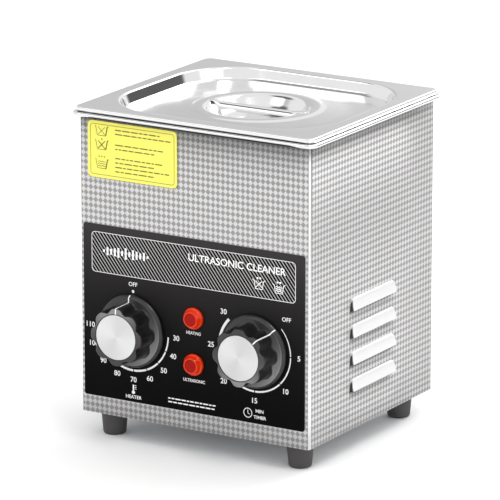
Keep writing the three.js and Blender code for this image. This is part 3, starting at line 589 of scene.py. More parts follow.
class Finishes:
    """Every finish on the object."""

    # Stainless sheet with rolled diamonds: soft grey, half of it bright and half of it satin, with shade
    # painted behind its front corners and on its louvres' ends.
    wrap = EmbossedSteel(
        "embossed_stainless_sheet", "#D2D2D2", 0.5, metallic=0.6, relief=0.02, dull="#9C9A9A"
    )
    # Deep-drawn stainless steel, polished: clear reflections drawn out by faint polishing lines.
    polished = DrawnMetal(
        "polished_stainless_steel", "#E6E6E6", 0.12, metallic=1.0, relief=0.002, mottle=0.02, line=0.5
    )
    # Zinc-plated sheet: a dull blue-grey metal with rolling lines.
    zinc = DrawnMetal(
        "zinc_plated_steel", "#B9BCBF", 0.42, metallic=1.0, relief=0.004, mottle=0.06, patch=9.0
    )
    # Cast and machined aluminium: a pale grainy metal.
    aluminium = Finish("cast_aluminium", "#C9CACC", 0.45, metallic=1.0, grain=0.3, relief=0.01)
    # Turned brass: warm metal with a fine tool mark.
    brass = Finish("turned_brass", "#CBA457", 0.3, metallic=1.0, grain=0.25, relief=0.005)
    # Drawn copper tube: a soft red metal, darker in patches from handling.
    copper = Finish("drawn_copper", "#B87350", 0.35, metallic=1.0, grain=0.3, relief=0.004, mottle=0.15)
    # Pressed and fired piezo ceramic: matt, off-white and finely granular.
    ceramic = Finish("fired_ceramic", "#D9D4C6", 0.6, ior=1.7, grain=0.2, relief=0.008)
    # Injection-moulded gloss ABS: deep black with clear highlights.
    gloss_black = Finish("gloss_black_abs", "#141415", 0.3, ior=1.54, grain=2.0, relief=0.0002, mottle=0.1)
    # Screen-printed polycarbonate film: near-black, with a sheen painted from charcoal at the top to black at
    # the bottom.
    panel = PaintedSheenFilm("black_polycarbonate_film_painted_sheen", "#030303", 0.4, specular=0.05, grain=0.25, relief=0.002)
    # The same film, printed with fine slanting lines.
    banner = StripedFilm("lined_polycarbonate_film", "#0C0B0B", 0.4, specular=0.08)
    # Screen ink: opaque, white and slightly raised.
    white_ink = Finish("white_screen_ink", "#F4F4F4", 0.5, grain=0.15, relief=0.003, mottle=0.02)
    # Offset ink: thin and brown-black.
    dark_ink = Finish("dark_printing_ink", "#5F5A26", 0.6, grain=0.15, relief=0.002)
    # Vinyl label stock: clear yellow and satin.
    label = Finish("yellow_vinyl", "#F3EC66", 0.45, grain=0.3, relief=0.003, mottle=0.03)
    # Clear red acrylic, moulded: the rim is painted orange for the light that passes through it, and the face
    # is deep red.
    lamp_rim = Finish(
        "red_acrylic_painted_light",
        "#E23202",
        0.08,
        ior=1.49,
        specular=0.25,
        coat=0.25,
        grain=1.6,
        relief=0.006,
    )
    lamp_face = Finish(
        "deep_red_acrylic", "#9E0E04", 0.15, ior=1.49, specular=0.12, grain=0.5, relief=0.004
    )
    # Compression-moulded rubber: dark grey, matt, with a fine grain.
    rubber = Finish("moulded_rubber", "#3F3C3C", 0.62, ior=1.52, grain=0.4, relief=0.02)
    # A smooth black strip: painted dark reflection under the front of the bead.
    dark_reflection_strip = Finish("black_painted_reflection_strip", "#0C0C0C", 0.5, ior=1.41, grain=0.5, relief=0.002)
    # Injection-moulded engineering plastic with a spark-eroded texture.
    black_plastic = Finish("textured_black_nylon", "#19191A", 0.45, ior=1.53, grain=0.35, relief=0.015)
    # Phenolic switch bodies: creamy and slightly glossy.
    cream_plastic = Finish("cream_phenolic", "#CFC4A2", 0.4, ior=1.6, grain=0.5, relief=0.008)
    # Glass-epoxy laminate: green solder resist that is glossy over lighter copper tracks.
    board = CircuitLaminate("green_circuit_laminate", "#14602F", 0.35, ior=1.55, relief=0.03)
    # Silicone heater mat: brick red with the print of the glass cloth in it.
    silicone = Finish("cured_silicone", "#A34A32", 0.6, ior=1.41, grain=0.7, relief=0.03)
    # Extruded wire sleeves: smooth and softly glossy.
    red_wire = Finish("red_pvc_sleeve", "#B8241C", 0.35, ior=1.53, grain=0.5, relief=0.004)
    blue_wire = Finish("blue_pvc_sleeve", "#2747A0", 0.35, ior=1.53, grain=0.5, relief=0.004)


class Slot(Enum):
    """The record's material slots."""

    WRAP = "patterned_steel"
    STEEL = "polished_steel"
    ZINC = "zinc_steel"
    ALUMINIUM = "aluminium"
    BRASS = "brass"
    COPPER = "copper"
    CERAMIC = "ceramic"
    GLOSS = "gloss_black"
    PANEL = "panel_black"
    LABEL = "label_yellow"
    LAMP = "lamp_red"
    RUBBER = "foot_rubber"
    BLACK_PLASTIC = "black_plastic"
    CREAM_PLASTIC = "cream_plastic"
    BOARD = "board_green"
    SILICONE = "heater_silicone"
    RED_WIRE = "wire_red"
    BLUE_WIRE = "wire_blue"


# ---------------------------------------------------------------------------------------------
# Surfaces
# ---------------------------------------------------------------------------------------------


class End(Enum):
    """How a skin ends: left open, closed by one flat face, or drawn to a point."""

    OPEN = "open"
    FLAT = "flat"
    POLE = "pole"


@dataclass
class Form:
    """Points in millimetres, and the faces between them."""

    points: Array
    faces: list[list[int]]

    def on_front(self, x: float, y: float, z: float) -> "Form":
        """The form stood on the front of the object.

        A point (u right, v up, w outward) becomes (x + u, y - w, z + v).

        Args:
            x: Where u is 0.
            y: The face that w starts from.
            z: Where v is 0.

        Returns:
            The form in the frame's axes.
        """
        u, v, w = self.points.T
        return Form(np.stack([x + u, y - w, z + v], axis=-1), self.faces)

    def moved(self, x: float, y: float, z: float) -> "Form":
        """The form moved by that much along each axis."""
        return Form(self.points + np.array([x, y, z]), self.faces)


def joined(forms: list[Form]) -> Form:
    """Puts several forms into one, each with its faces numbered after the last one's.

    Args:
        forms: The forms, in order.

    Returns:
        One form.
    """
    starts = np.cumsum([0] + [len(form.points) for form in forms[:-1]])
    faces = [[int(start) + i for i in face] for start, form in zip(starts, forms) for face in form.faces]
    return Form(np.concatenate([form.points for form in forms]), faces)


def skin(rings: Array, first: End = End.OPEN, last: End = End.OPEN, around: bool = False) -> Form:
    """A skin over a stack of closed rings.

    Face (i, j) joins points j and j + 1 of ring i to the same points of ring i + 1. With rings that
    run anticlockwise seen from the last one's side, the faces point outward.

    Args:
        rings: The rings' points, as (ring, step, axis).
        first: How the skin ends at the first ring.
        last: How it ends at the last ring.
        around: Whether the last ring joins the first again.

    Returns:
        The skin.
    """
    count, steps = rings.shape[:2]
    index = np.arange(count * steps).reshape(count, steps)
    if around:
        index = np.concatenate([index, index[:1]])
    beside = np.roll(index, -1, axis=1)
    faces = np.stack([index[:-1], beside[:-1], beside[1:], index[1:]], axis=-1).reshape(-1, 4).tolist()
    points = [rings.reshape(-1, 3)]
    total = count * steps
    for end, ring, at in ((first, index[0][::-1], rings[0]), (last, index[-1], rings[-1])):
        if end is End.FLAT:
            faces.append(ring.tolist())
        elif end is End.POLE:
            points.append(at.mean(axis=0, keepdims=True))
            faces += np.stack([ring, np.roll(ring, -1), np.full(steps, total)], axis=-1).tolist()
            total += 1
    return Form(np.concatenate(points), faces)


def turned(
    profile: Array, steps: int, first: End = End.POLE, last: End = End.POLE, around: bool = False
) -> Form:
    """A profile of (radius, height) carried round the w axis: (r cos a, r sin a, h).

    Args:
        profile: The profile's points, as (point, 2).
        steps: How many steps there are round the axis.
        first: How it ends at the first point.
        last: How it ends at the last point.
        around: Whether the profile is a loop.

    Returns:
        The turned form.
    """
    angle = np.linspace(0, 2 * np.pi, steps, endpoint=False)
    radius, height = profile[:, :1], profile[:, 1:]
    height = np.broadcast_to(height, (len(profile), steps))
    rings = np.stack([radius * np.cos(angle), radius * np.sin(angle), height], axis=-1)
    return skin(rings, first, last, around)


def softened(corners: list[tuple[float, float, float]], steps: int = 6) -> Array:
    """A line through corners, each rounded by a parabola that touches both of its sides.

    At a corner P with a cut c, the line leaves the side before at P - c, reaches the side after at
    P + c, and between them is (1 - t)^2 before + 2 t (1 - t) P + t^2 after.

    Args:
        corners: Each corner's two coordinates and its cut. A cut of 0 keeps the corner sharp.
        steps: How many steps each rounded corner has.

    Returns:
        The points, as (point, 2).
    """
    line = np.array(corners)
    points, cuts = line[:, :2], line[:, 2]
    parts = [points[:1]]
    share = np.linspace(0, 1, steps + 1)[:, None]
    for before, corner, after, cut in zip(points, points[1:], points[2:], cuts[1:]):
        if cut == 0:
            parts.append(corner[None])
            continue
        start = corner + (before - corner) / np.linalg.norm(before - corner) * cut
        stop = corner + (after - corner) / np.linalg.norm(after - corner) * cut
        parts.append((1 - share) ** 2 * start + 2 * share * (1 - share) * corner + share**2 * stop)
    parts.append(points[-1:])
    return np.concatenate(parts)


def corner_angles(half_x: float, half_y: float, corner: float, coarse: int = 16, fine: int = 12) -> Array:
    """Directions round a rounded rectangle, close together where its corners are.

    Args:
        half_x: Half of its size along X.
        half_y: Half of its size along Y.
        corner: Its corner radius.
        coarse: How many steps each straight part of a quarter has.
        fine: How many steps each corner has.

    Returns:
        The angles in radians, rising from 0.
    """
    start = math.atan2(half_y - corner, half_x)
    stop = math.atan2(half_y, half_x - corner)
    quarter = np.concatenate([
        np.linspace(0, start, coarse, endpoint=False),
        np.linspace(start, stop, fine, endpoint=False),
        np.linspace(stop, np.pi / 2, coarse),
    ])
    whole = np.concatenate([quarter, np.pi - quarter, np.pi + quarter, 2 * np.pi - quarter])
    angles = np.unique(np.round(np.mod(whole, 2 * np.pi), 6))
    return angles[angles < 2 * np.pi - 1e-5]


def rounded(angles: Array, half_x: float, half_y: float, corner: float) -> Array:
    """Where rays from the middle meet a rounded rectangle.

    A ray first meets the straight side at the smaller of half_x / |cos| and half_y / |sin|. Where
    that point lies in a corner, the ray ends on the corner's circle about C instead, at
    d.C + sqrt((d.C)^2 - |C|^2 + r^2).

    Args:
        angles: The rays' angles.
        half_x: Half of the size along X.
        half_y: Half of the size along Y.
        corner: The corner radius.

    Returns:
        The points, as (ray, 2).
    """
    ray = np.stack([np.abs(np.cos(angles)), np.abs(np.sin(angles))], axis=-1)
    reach = np.minimum(half_x / np.maximum(ray[:, 0], 1e-9), half_y / np.maximum(ray[:, 1], 1e-9))
    middle = np.array([half_x - corner, half_y - corner])
    in_corner = np.all(ray * reach[:, None] > middle + 1e-9, axis=1)
    along = ray @ middle
    root = np.sqrt(np.maximum(along**2 - middle @ middle + corner**2, 0))
    reach = np.where(in_corner, along + root, reach)
    return np.stack([np.cos(angles) * reach, np.sin(angles) * reach], axis=-1)


def pressed(angles: Array, stations: Array) -> Array:
    """Rings of a pressed sheet: each station is a rounded rectangle (half x, half y, corner) at a height.

    Args:
        angles: The directions of the rings' points.
        stations: The stations, as (station, 4).

    Returns:
        The rings, as (station, step, 3).
    """
    return np.stack([
        np.column_stack([rounded(angles, half_x, half_y, corner), np.full(len(angles), height)])
        for half_x, half_y, corner, height in stations
    ])


def plate(outline: Array, low: float, high: float) -> Form:
    """A flat plate: an outline in u and v at w = low, and again at w = high.

    Args:
        outline: The outline's points, as (point, 2).
        low: The plate's lower face.
        high: Its upper face.

    Returns:
        The plate.
    """
    rings = np.stack([np.column_stack([outline, np.full(len(outline), w)]) for w in (low, high)])
    return skin(rings, End.FLAT, End.FLAT)


def strap(
    path: Array, across: Array, up: Array, width: Array | float, thickness: float, around: bool = False
) -> Form:
    """A flat strap carried along a path.

    At each point its section is a rectangle: path +- across * width / 2, and the same raised by
    up * thickness.

    Args:
        path: The points in the middle of its lower face, as (point, 3).
        across: Unit vectors along its width.
        up: Unit vectors along its thickness.
        width: Its width, all along or at each point.
        thickness: Its thickness.
        around: Whether the path is a loop.

    Returns:
        The strap.
    """
    half = np.broadcast_to(np.asarray(width, dtype=float).reshape(-1, 1) / 2, (len(path), 1)) * across
    lift = np.broadcast_to(up * thickness, path.shape)
    rings = np.stack([path - half, path + half, path + half + lift, path - half + lift], axis=1)
    ends = End.OPEN if around else End.FLAT
    return skin(rings, ends, ends, around)


def stroke(line: Array, width: Array | float, low: float, around: bool = False) -> Form:
    """A printed line: a strap along points in u and v, with its width square to its own direction.

    Args:
        line: The points, as (point, 2).
        width: The line's width.
        low: The surface that it is printed on.
        around: Whether the line is a loop.

    Returns:
        The printed line.
    """
    if around:
        direction = np.roll(line, -1, axis=0) - np.roll(line, 1, axis=0)
    else:
        direction = np.gradient(line, axis=0)
    direction = direction / np.linalg.norm(direction, axis=1, keepdims=True)
    across = np.column_stack([direction[:, 1], -direction[:, 0], np.zeros(len(line))])
    path = np.column_stack([line, np.full(len(line), low)])
    return strap(path, across, np.array([0.0, 0.0, 1.0]), width, INK, around)


def arc(centre: tuple[float, float], radius: float, start: float, stop: float, steps: int = 24) -> Array:
    """Points on a circle: centre + radius (cos a, sin a).

    Args:
        centre: The circle's centre, in u and v.
        radius: Its radius.
        start: The first point's angle in degrees.
        stop: The last point's angle.
        steps: How many points there are.

    Returns:
        The points, as (point, 2).
    """
    angle = np.radians(np.linspace(start, stop, steps))
    return np.array(centre) + radius * np.stack([np.cos(angle), np.sin(angle)], axis=-1)


def bar(start: tuple[float, float], stop: tuple[float, float], width: float, low: float) -> Form:
    """A straight printed line between two points."""
    return stroke(np.array([start, stop], dtype=float), width, low)


def disc(centre: tuple[float, float], radius: float, low: float) -> Form:
    """A round printed dot."""
    return plate(arc(centre, radius, 0, 350, 36), low, low + INK)


def ring(centre: tuple[float, float], radius: float, width: float, low: float) -> Form:
    """A printed ring."""
    return stroke(arc(centre, radius, 0, 350, 36), width, low, around=True)


def plain_bars(
    generator: np.random.Generator,
    rows: list[tuple[float, float]],
    start: float,
    lengths: tuple[float, float],
    shortest: float,
    gap: float,
    width: float,
    low: float = 0.0,
) -> list[Form]:
    """Rows of short bars of drawn lengths, where small print would be.

    Args:
        generator: What the lengths are drawn from.
        rows: Each row's height and the end that it stops at.
        start: Where every row starts.
        lengths: The least and the greatest length.
        shortest: How much has to be left of a row for another bar.
        gap: The space between bars.
        width: The bars' width.
        low: The surface that they are printed on.

    Returns:
        The bars.
    """
    forms = []
    for v, end in rows:
        at = start
        while at < end - shortest:
            length = float(generator.uniform(*lengths))
            forms.append(bar((at, v), (min(at + length, end), v), width, low))
            at += length + gap
    return forms


def lettering(text: str, height: float, centre: tuple[float, float], low: float, width: float = 0.0) -> Form:
    """Generic words or numbers, from the built-in typeface.

    The letters' box is scaled to the height asked for, and across to the width if one is given.
    The outline is swelled a little first, as ink spreads.

    Args:
        text: The characters.
        height: The height of the letters' box.
        centre: Its middle, in u and v.
        low: The surface that it is printed on.
        width: The width of the box, or 0 for the typeface's own.

    Returns:
        The letters.
    """
    swelling = 0.012
    curve = bpy.data.curves.new("lettering", "FONT")
    curve.body = text
    curve.extrude = INK / 2
    curve.offset = swelling
    curve.resolution_u = 4
    source = bpy.data.objects.new("lettering", curve)
    bpy.context.scene.collection.objects.link(source)
    mesh = bpy.data.meshes.new_from_object(source.evaluated_get(bpy.context.evaluated_depsgraph_get()))
    points = np.empty(len(mesh.vertices) * 3)
    mesh.vertices.foreach_get("co", points)
    points = points.reshape(-1, 3)
    faces = [list(polygon.vertices) for polygon in mesh.polygons]
    bpy.data.objects.remove(source)
    bpy.data.curves.remove(curve)
    bpy.data.meshes.remove(mesh)
    lowest, highest = points.min(axis=0), points.max(axis=0)
    scale_v = height / (highest[1] - lowest[1])
    scale_u = width / (highest[0] - lowest[0]) if width else scale_v
    middle = (lowest + highest) / 2
    u = (points[:, 0] - middle[0]) * scale_u + centre[0]
    v = (points[:, 1] - middle[1]) * scale_v + centre[1]
    return Form(np.column_stack([u, v, low + INK / 2 + points[:, 2]]), faces)


def make_piece(
    name: str, form: Form, body: str, finish: Finish, sharp: float = 35.0, closed: bool = True
) -> bpy.types.Object:
    """Makes a Blender object from a form, dresses it and sets it on its body.

    Args:
        name: The piece's name.
        form: Its surface, in millimetres.
        body: The CAD body that it rides on.
        finish: Its finish.
        sharp: Edges that turn by more than this many degrees stay sharp.
        closed: Whether the surface is closed, so that its faces can be turned outward.

    Returns:
        The object.
    """
    mesh = bpy.data.meshes.new(name)
    mesh.from_pydata((form.points * MM).tolist(), [], form.faces)
    if closed:
        work = bmesh.new()
        work.from_mesh(mesh)
        bmesh.ops.recalc_face_normals(work, faces=work.faces)
        work.to_mesh(mesh)
        work.free()
    mesh.polygons.foreach_set("use_smooth", [True] * len(mesh.polygons))
    mesh.set_sharp_from_angle(angle=math.radians(sharp))
    mesh.materials.append(finish.make())
    mesh.update()
    piece = bpy.data.objects.new(name, mesh)
    bpy.context.scene.collection.objects.link(piece)
    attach(piece, body)
    log.info("%s: %d faces on %s", name, len(mesh.polygons), body)
    return piece


def thicken(piece: bpy.types.Object, thickness: float) -> None:
    """Gives a sheet its thickness, on the side that its faces point away from.

    Args:
        piece: The sheet.
        thickness: Its thickness in millimetres.
    """
    solid = piece.modifiers.new("sheet_thickness", "SOLIDIFY")
    solid.thickness = thickness * MM
    solid.offset = -1.0


@dataclass
class Extent:
    """The lowest and highest corners of a CAD node, in millimetres."""

    low: Array
    high: Array

    @classmethod
    def of(cls, node: str) -> "Extent":
        """The box of that node at rest."""
        low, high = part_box(node)
        return cls(np.array(low) / MM, np.array(high) / MM)

    @property
    def middle(self) -> Array:
        """The middle of the box."""
        return (self.low + self.high) / 2

    @property
    def half(self) -> Array:
        """Half of the box's size along each axis."""
        return (self.high - self.low) / 2


# ---------------------------------------------------------------------------------------------
# Housing
# ---------------------------------------------------------------------------------------------


@dataclass
class HousingWrap:
    """The embossed sheet that is folded round the front and both sides, with louvres in the sides."""

    width: float = 165.0
    sheet: float = 1.2
    bend: float = 1.6
    bare: float = -0.9
    # Where the painted dark line behind each front corner starts on the side, and how wide it is.
    painted_line_start: float = 0.1
    painted_line_width: float = 0.9
    louvre_count: int = 4
    louvre_length: float = 57.1
    louvre_height: float = 7.9
    louvre_reach: float = 2.4
    louvre_round: float = 5.4
    louvre_end: float = 3.4
    louvre_pitch: float = 17.25
    louvre_top: float = 84.35
    louvre_y: float = 8.75
    louvre_slot: float = 0.6
    step: float = 0.04
    bend_step: float = 0.05
    box: Extent = field(default_factory=lambda: Extent.of("housing_wrap"))

    @property
    def flat(self) -> float:
        """Half of the flat front, in millimetres."""
        return self.width / 2 - self.bend

    @property
    def side_start(self) -> float:
        """Where the flat side starts, measured along the sheet from the middle of the front."""
        return self.flat + self.bend * math.pi / 2

    @property
    def edges(self) -> list[float]:
        """The heights of the louvres' lower edges."""
        top = self.box.low[2] + self.louvre_top - self.louvre_height
        return [top - i * self.louvre_pitch for i in range(self.louvre_count)]

    def columns(self) -> Array:
        """Distances along the sheet from the middle of the front, close together at bends and louvres.

        Returns:
            The distances in millimetres, negative to the left.
        """
        middle = self.side_start + self.louvre_y - self.box.low[1] - self.bend
        half = self.louvre_length / 2
        round_end = np.linspace(half - self.louvre_round, half, 19)
        painted_line_stop = self.painted_line_start + self.painted_line_width
        length = self.side_start + self.box.high[1] - self.box.low[1] - self.bend
        right = np.concatenate([
            np.linspace(0, self.flat, 6),
            np.array([self.flat - self.bare - self.bend_step, self.flat - self.bare]),
            np.linspace(self.flat, self.side_start, 9)[1:],
            self.side_start + self.painted_line_start + np.array([-self.step, 0.0]),
            self.side_start + painted_line_stop + np.array([0.0, self.step, 2 * self.step]),
            middle - round_end[::-1],
            np.linspace(middle - half + self.louvre_round, middle + half - self.louvre_round, 8)[1:-1],
            middle + round_end,
            np.array([middle + half + 0.1, middle - half - 0.1]),
            np.array([length]),
        ])
        return np.unique(np.round(np.concatenate([-right, right]), 6))

    def rows(self) -> Array:
        """Heights up the sheet, close together at the louvres.

        Returns:
            The heights in millimetres.
        """
        louvres = [
            np.concatenate([[edge - self.louvre_slot], np.linspace(edge, edge + self.louvre_height, 19)])
            for edge in self.edges
        ]
        above = [np.array([edge + self.louvre_height + 0.1]) for edge in self.edges]
        ends = np.array([self.box.low[2], self.box.high[2]])
        return np.unique(np.round(np.concatenate([ends, *louvres, *above]), 6))

    def inset(self, along: Array, up: Array) -> Array:
        """How far inside a louvre's outline each point is.

        The outline is the upper half of a slot with elliptic ends: a point is h - sqrt((x h / e)^2 + z^2)
        inside it, where h is the louvre's height, e the length of an end, x how far the point lies
        beyond the straight part and z its height over the lower edge.

        Args:
            along: Positions along Y.
            up: Heights.

        Returns:
            The distances in millimetres, 0 outside.
        """
        straight = self.louvre_length / 2 - self.louvre_round
        past = np.maximum(np.abs(along - self.louvre_y) - straight, 0)
        beyond = past * self.louvre_height / self.louvre_round
        inside = np.zeros(np.broadcast(along, up).shape)
        for edge in self.edges:
            height = up - edge
            within = self.louvre_height - np.hypot(beyond, height)
            inside = np.maximum(inside, np.where(height >= -1e-6, within, 0))
        return inside

    def lean(self, up: Array) -> Array:
        """How far out a louvre's blade leans: 1 at its lower edge, and evenly down to 0 at its top.

        Args:
            up: Heights.

        Returns:
            The shares of the louvre's reach.
        """
        share = np.zeros(up.shape)
        for edge in self.edges:
            height = (up - edge) / self.louvre_height
            share = np.maximum(share, np.where((height >= -1e-6) & (height <= 1), 1 - height, 0))
        return share

    def build(self) -> None:
        """Makes the sheet.

        Along the sheet it runs straight, turns on the bend's radius through a right angle, and runs
        straight again. On the sides a louvre's blade stands out by reach times its lean, and its ends
        rise to the blade as q^2 (3 - 2 q), where q is the distance inside the louvre's outline over
        the run of an end, which is longer where the blade leans out further. The faces just below
        each louvre are left out, which opens it.
        """
        along, up = np.meshgrid(self.columns(), self.rows())
        distance = np.abs(along)
        angle = np.clip((distance - self.flat) / self.bend, 0, np.pi / 2)
        side = np.maximum(distance - self.side_start, 0)
        y = self.box.low[1] + self.bend * (1 - np.cos(angle)) + side
        x = np.minimum(distance, self.flat) + self.bend * np.sin(angle)
        inside = np.where(side > 0, self.inset(y, up), 0)
        lean = self.lean(up)
        share = np.clip(inside / (self.louvre_end * np.maximum(lean, 0.2)), 0, 1)
        rise = share**2 * (3 - 2 * share)
        x = (x + self.louvre_reach * np.sqrt(lean) * rise) * np.sign(along)
        points = np.stack([x, y, up], axis=-1).reshape(-1, 3)

        index = np.arange(along.size).reshape(along.shape)
        faces = np.stack([index[:-1, :-1], index[:-1, 1:], index[1:, 1:], index[1:, :-1]], axis=-1)
        starts = np.isin(np.round(up[1:, 0], 4), np.round(self.edges, 4))
        opened = starts[:, None] & (inside[1:, :-1] > 0.05) & (inside[1:, 1:] > 0.05)
        piece = make_piece(
            "housing_sheet",
            Form(points, faces[~opened].tolist()),
            "housing",
            Finishes.wrap,
            closed=False,
        )
        pattern = self.pattern(distance, inside)
        # Painted shade: the dark reflection painted behind each front corner, and shade painted on the
        # louvres' front ends.
        painted_shade = self.painted_shade(distance, up) + self.painted_louvre_shade(share, lean) * (y < self.louvre_y) * (side > 0)
        mesh = piece.data
        for name, values in (("embossed", pattern), ("painted_shade", painted_shade)):
            mesh.attributes.new(name, "FLOAT", "POINT").data.foreach_set("value", values.ravel())
        corner = np.empty(len(mesh.loops), dtype=np.int64)
        mesh.loops.foreach_get("vertex_index", corner)
        sheet = np.stack([along.ravel(), up.ravel()], axis=-1)[corner]
        mesh.uv_layers.new(name="sheet").data.foreach_set("uv", sheet.ravel())
        thicken(piece, self.sheet)
        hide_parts("housing_wrap")

    def pattern(self, distance: Array, inside: Array) -> Array:
        """Where the sheet keeps its embossing: not on the bends, not until past the painted dark lines beside
        them, and not on the louvres.

        Args:
            distance: Distances along the sheet from the middle of the front.
            inside: How far inside a louvre's outline each point is.

        Returns:
            1 where it is embossed, and 0 where it is not.
        """
        front = np.clip((self.flat - self.bare - distance) / self.bend_step, 0, 1)
        start = self.side_start + self.painted_line_start + self.painted_line_width + self.step
        side = np.clip((distance - start) / self.step, 0, 1)
        return (front + side) * np.clip(1 - inside / self.bend_step, 0, 1)

    def painted_shade(self, distance: Array, up: Array) -> Array:
        """The painted shade: a dark line painted behind each front corner for the bend's dark reflection,
        which fades towards the sheet's lower end.

        Args:
            distance: Distances along the sheet from the middle of the front.
            up: Heights.

        Returns:
            Its strength, from 0 to 1.
        """
        start = self.side_start + self.painted_line_start
        stop = start + self.painted_line_width + self.step
        line = np.clip((distance - start + self.step) / self.step, 0, 1)
        line = line * np.clip((stop - distance) / self.step, 0, 1)
        height = (up - self.box.low[2]) / (self.box.high[2] - self.box.low[2])
        return line * np.clip(height * 2 - 0.7, 0, 1)

    @staticmethod
    def painted_louvre_shade(share: Array, lean: Array) -> Array:
        """The shade painted on a louvre's ends, strongest halfway up the rise and where the blade leans out.

        Args:
            share: How far each point is up the rise of a louvre's end, from 0 to 1.
            lean: How far out the blade leans there.

        Returns:
            Its strength, from 0 to 1.
        """
        return np.clip(share * 5, 0, 1) * np.clip((0.95 - share) * 6, 0, 1) * np.clip(lean * 3, 0, 1)


@dataclass
class Feet:
    """Four moulded feet, each with a sunken bore for its screw."""

    height: float = 15.85
    top: float = 8.6
    bottom: float = 7.15
    fillet: float = 1.7
    bore: float = 2.2
    recess: float = 4.7
    ledge: float = 7.0

    def build(self) -> None:
        """Turns the foot's section round its own axis, four times."""
        section = softened([
            (self.bore, self.ledge + 2, 0),
            (self.bore, self.ledge, 0.3),
            (self.recess, self.ledge, 0.3),
            (self.recess, 0.0, 0.4),
            (self.bottom, 0.0, self.fillet),
            (self.top, self.height, 0.5),
            (self.bore, self.height, 0.2),
            (self.bore, self.ledge + 3, 0),
        ])
        foot = turned(section, 48, End.OPEN, End.OPEN, around=True)
        for corner in ("front_left", "front_right", "rear_left", "rear_right"):
            middle = Extent.of(f"foot_{corner}").middle
            piece = make_piece(
                f"moulded_foot_{corner}",
                foot.moved(middle[0], middle[1], 0.0),
                "housing",
                Finishes.rubber,
            )
            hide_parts(f"foot_{corner}")


# ---------------------------------------------------------------------------------------------
# Tank and lid
# ---------------------------------------------------------------------------------------------


@dataclass
class Tank:
    """The deep-drawn tank with its flat flange and beaded rim."""

    half_x: float = 76.5
    half_y: float = 70.35
    corner: float = 30.0
    floor_fillet: float = 8.0
    wall: float = 0.8
    rim_corner: float = 7.0
    bead: float = 1.45
    # Where the painted dark-reflection strip runs round the bead, in degrees, and how it fades at its ends.
    painted_strip_start: float = -82.0
    painted_strip_stop: float = -4.0
    painted_strip_fade: float = 9.0
    box: Extent = field(default_factory=lambda: Extent.of("tank"))

    def build(self) -> None:
        """Joins rounded rectangles from the middle of the floor out to the bead.

        The floor, the wall and the flange follow one section line, whose offset is added to the
        opening's half sizes and corner. The bead is a half circle about the rim's edge.
        """
        top, floor = self.box.high[2], self.box.low[2] + self.wall
        rim_x, rim_y = self.box.half[0], self.box.half[1]
        angles = corner_angles(rim_x, rim_y, self.rim_corner, coarse=14, fine=10)
        inner = softened([(-60, floor, 0), (-0.01, floor, self.floor_fillet), (0, top, 1.4), (3, top, 0)], 10)
        drawn = np.column_stack([
            self.half_x + inner[:, 0],
            self.half_y + inner[:, 0],
            np.maximum(self.corner + inner[:, 0], 1.0),
            inner[:, 1],
        ])
        drawn[0, 2] = 2.0
        turn = np.linspace(np.pi / 2, -np.pi / 2, 13)
        out = self.bead * (np.cos(turn) - 1)
        bead = np.column_stack([
            rim_x + out, rim_y + out, self.rim_corner + out, top - self.bead + self.bead * np.sin(turn)
        ])
        flat = np.array([[bead[0, 0] - 0.4, bead[0, 1] - 0.4, bead[0, 2] - 0.4, top]])
        rings = pressed(angles, np.concatenate([drawn, flat, bead]))
        form = skin(rings, End.POLE, End.OPEN)
        form.faces = [face[::-1] for face in form.faces]
        middle = self.box.middle
        piece = make_piece(
            "drawn_tank",
            form.moved(0.0, middle[1], 0.0),
            "housing",
            Finishes.polished,
            closed=False,
        )
        thicken(piece, self.wall)
        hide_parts("tank")
        self.build_painted_reflection_strip()

    def build_painted_reflection_strip(self) -> None:
        """Makes a black strip that paints the dark reflection under the bead along the front.

        Its section follows the bead's lower part at the bead's radius, and its thickness and its
        reach up the bead fall to nothing at both ends as the square root of the distance left.
        """
        top, front = self.box.high[2], self.box.low[1]
        half = self.box.half[0] - self.rim_corner
        x = np.linspace(-half, half, 61)
        ease = np.sqrt(np.clip((half - np.abs(x)) / self.painted_strip_fade, 0, 1))
        start, stop = np.radians(self.painted_strip_start), np.radians(self.painted_strip_stop)
        angle = start + np.linspace(0, 1, 9) * (stop - start) * (0.15 + 0.85 * ease[:, None])
        outer = self.bead + 0.05 + 0.03 * ease[:, None]
        inner = np.full_like(outer, self.bead - 0.3)
        middle_y, middle_z = front + self.bead + 0.08, top - self.bead
        outer, inner = np.broadcast_to(outer, angle.shape), np.broadcast_to(inner, angle.shape)
        section = np.concatenate([outer, inner], axis=1)
        turn = np.concatenate([angle, angle[:, ::-1]], axis=1)
        rings = np.stack([
            np.broadcast_to(x[:, None], turn.shape),
            middle_y - section * np.cos(turn),
            middle_z + section * np.sin(turn),
        ], axis=-1)
        make_piece(
            "front_sealing_lip",
            skin(rings, End.FLAT, End.FLAT),
            "housing",
            Finishes.dark_reflection_strip,
            sharp=60.0,
        )


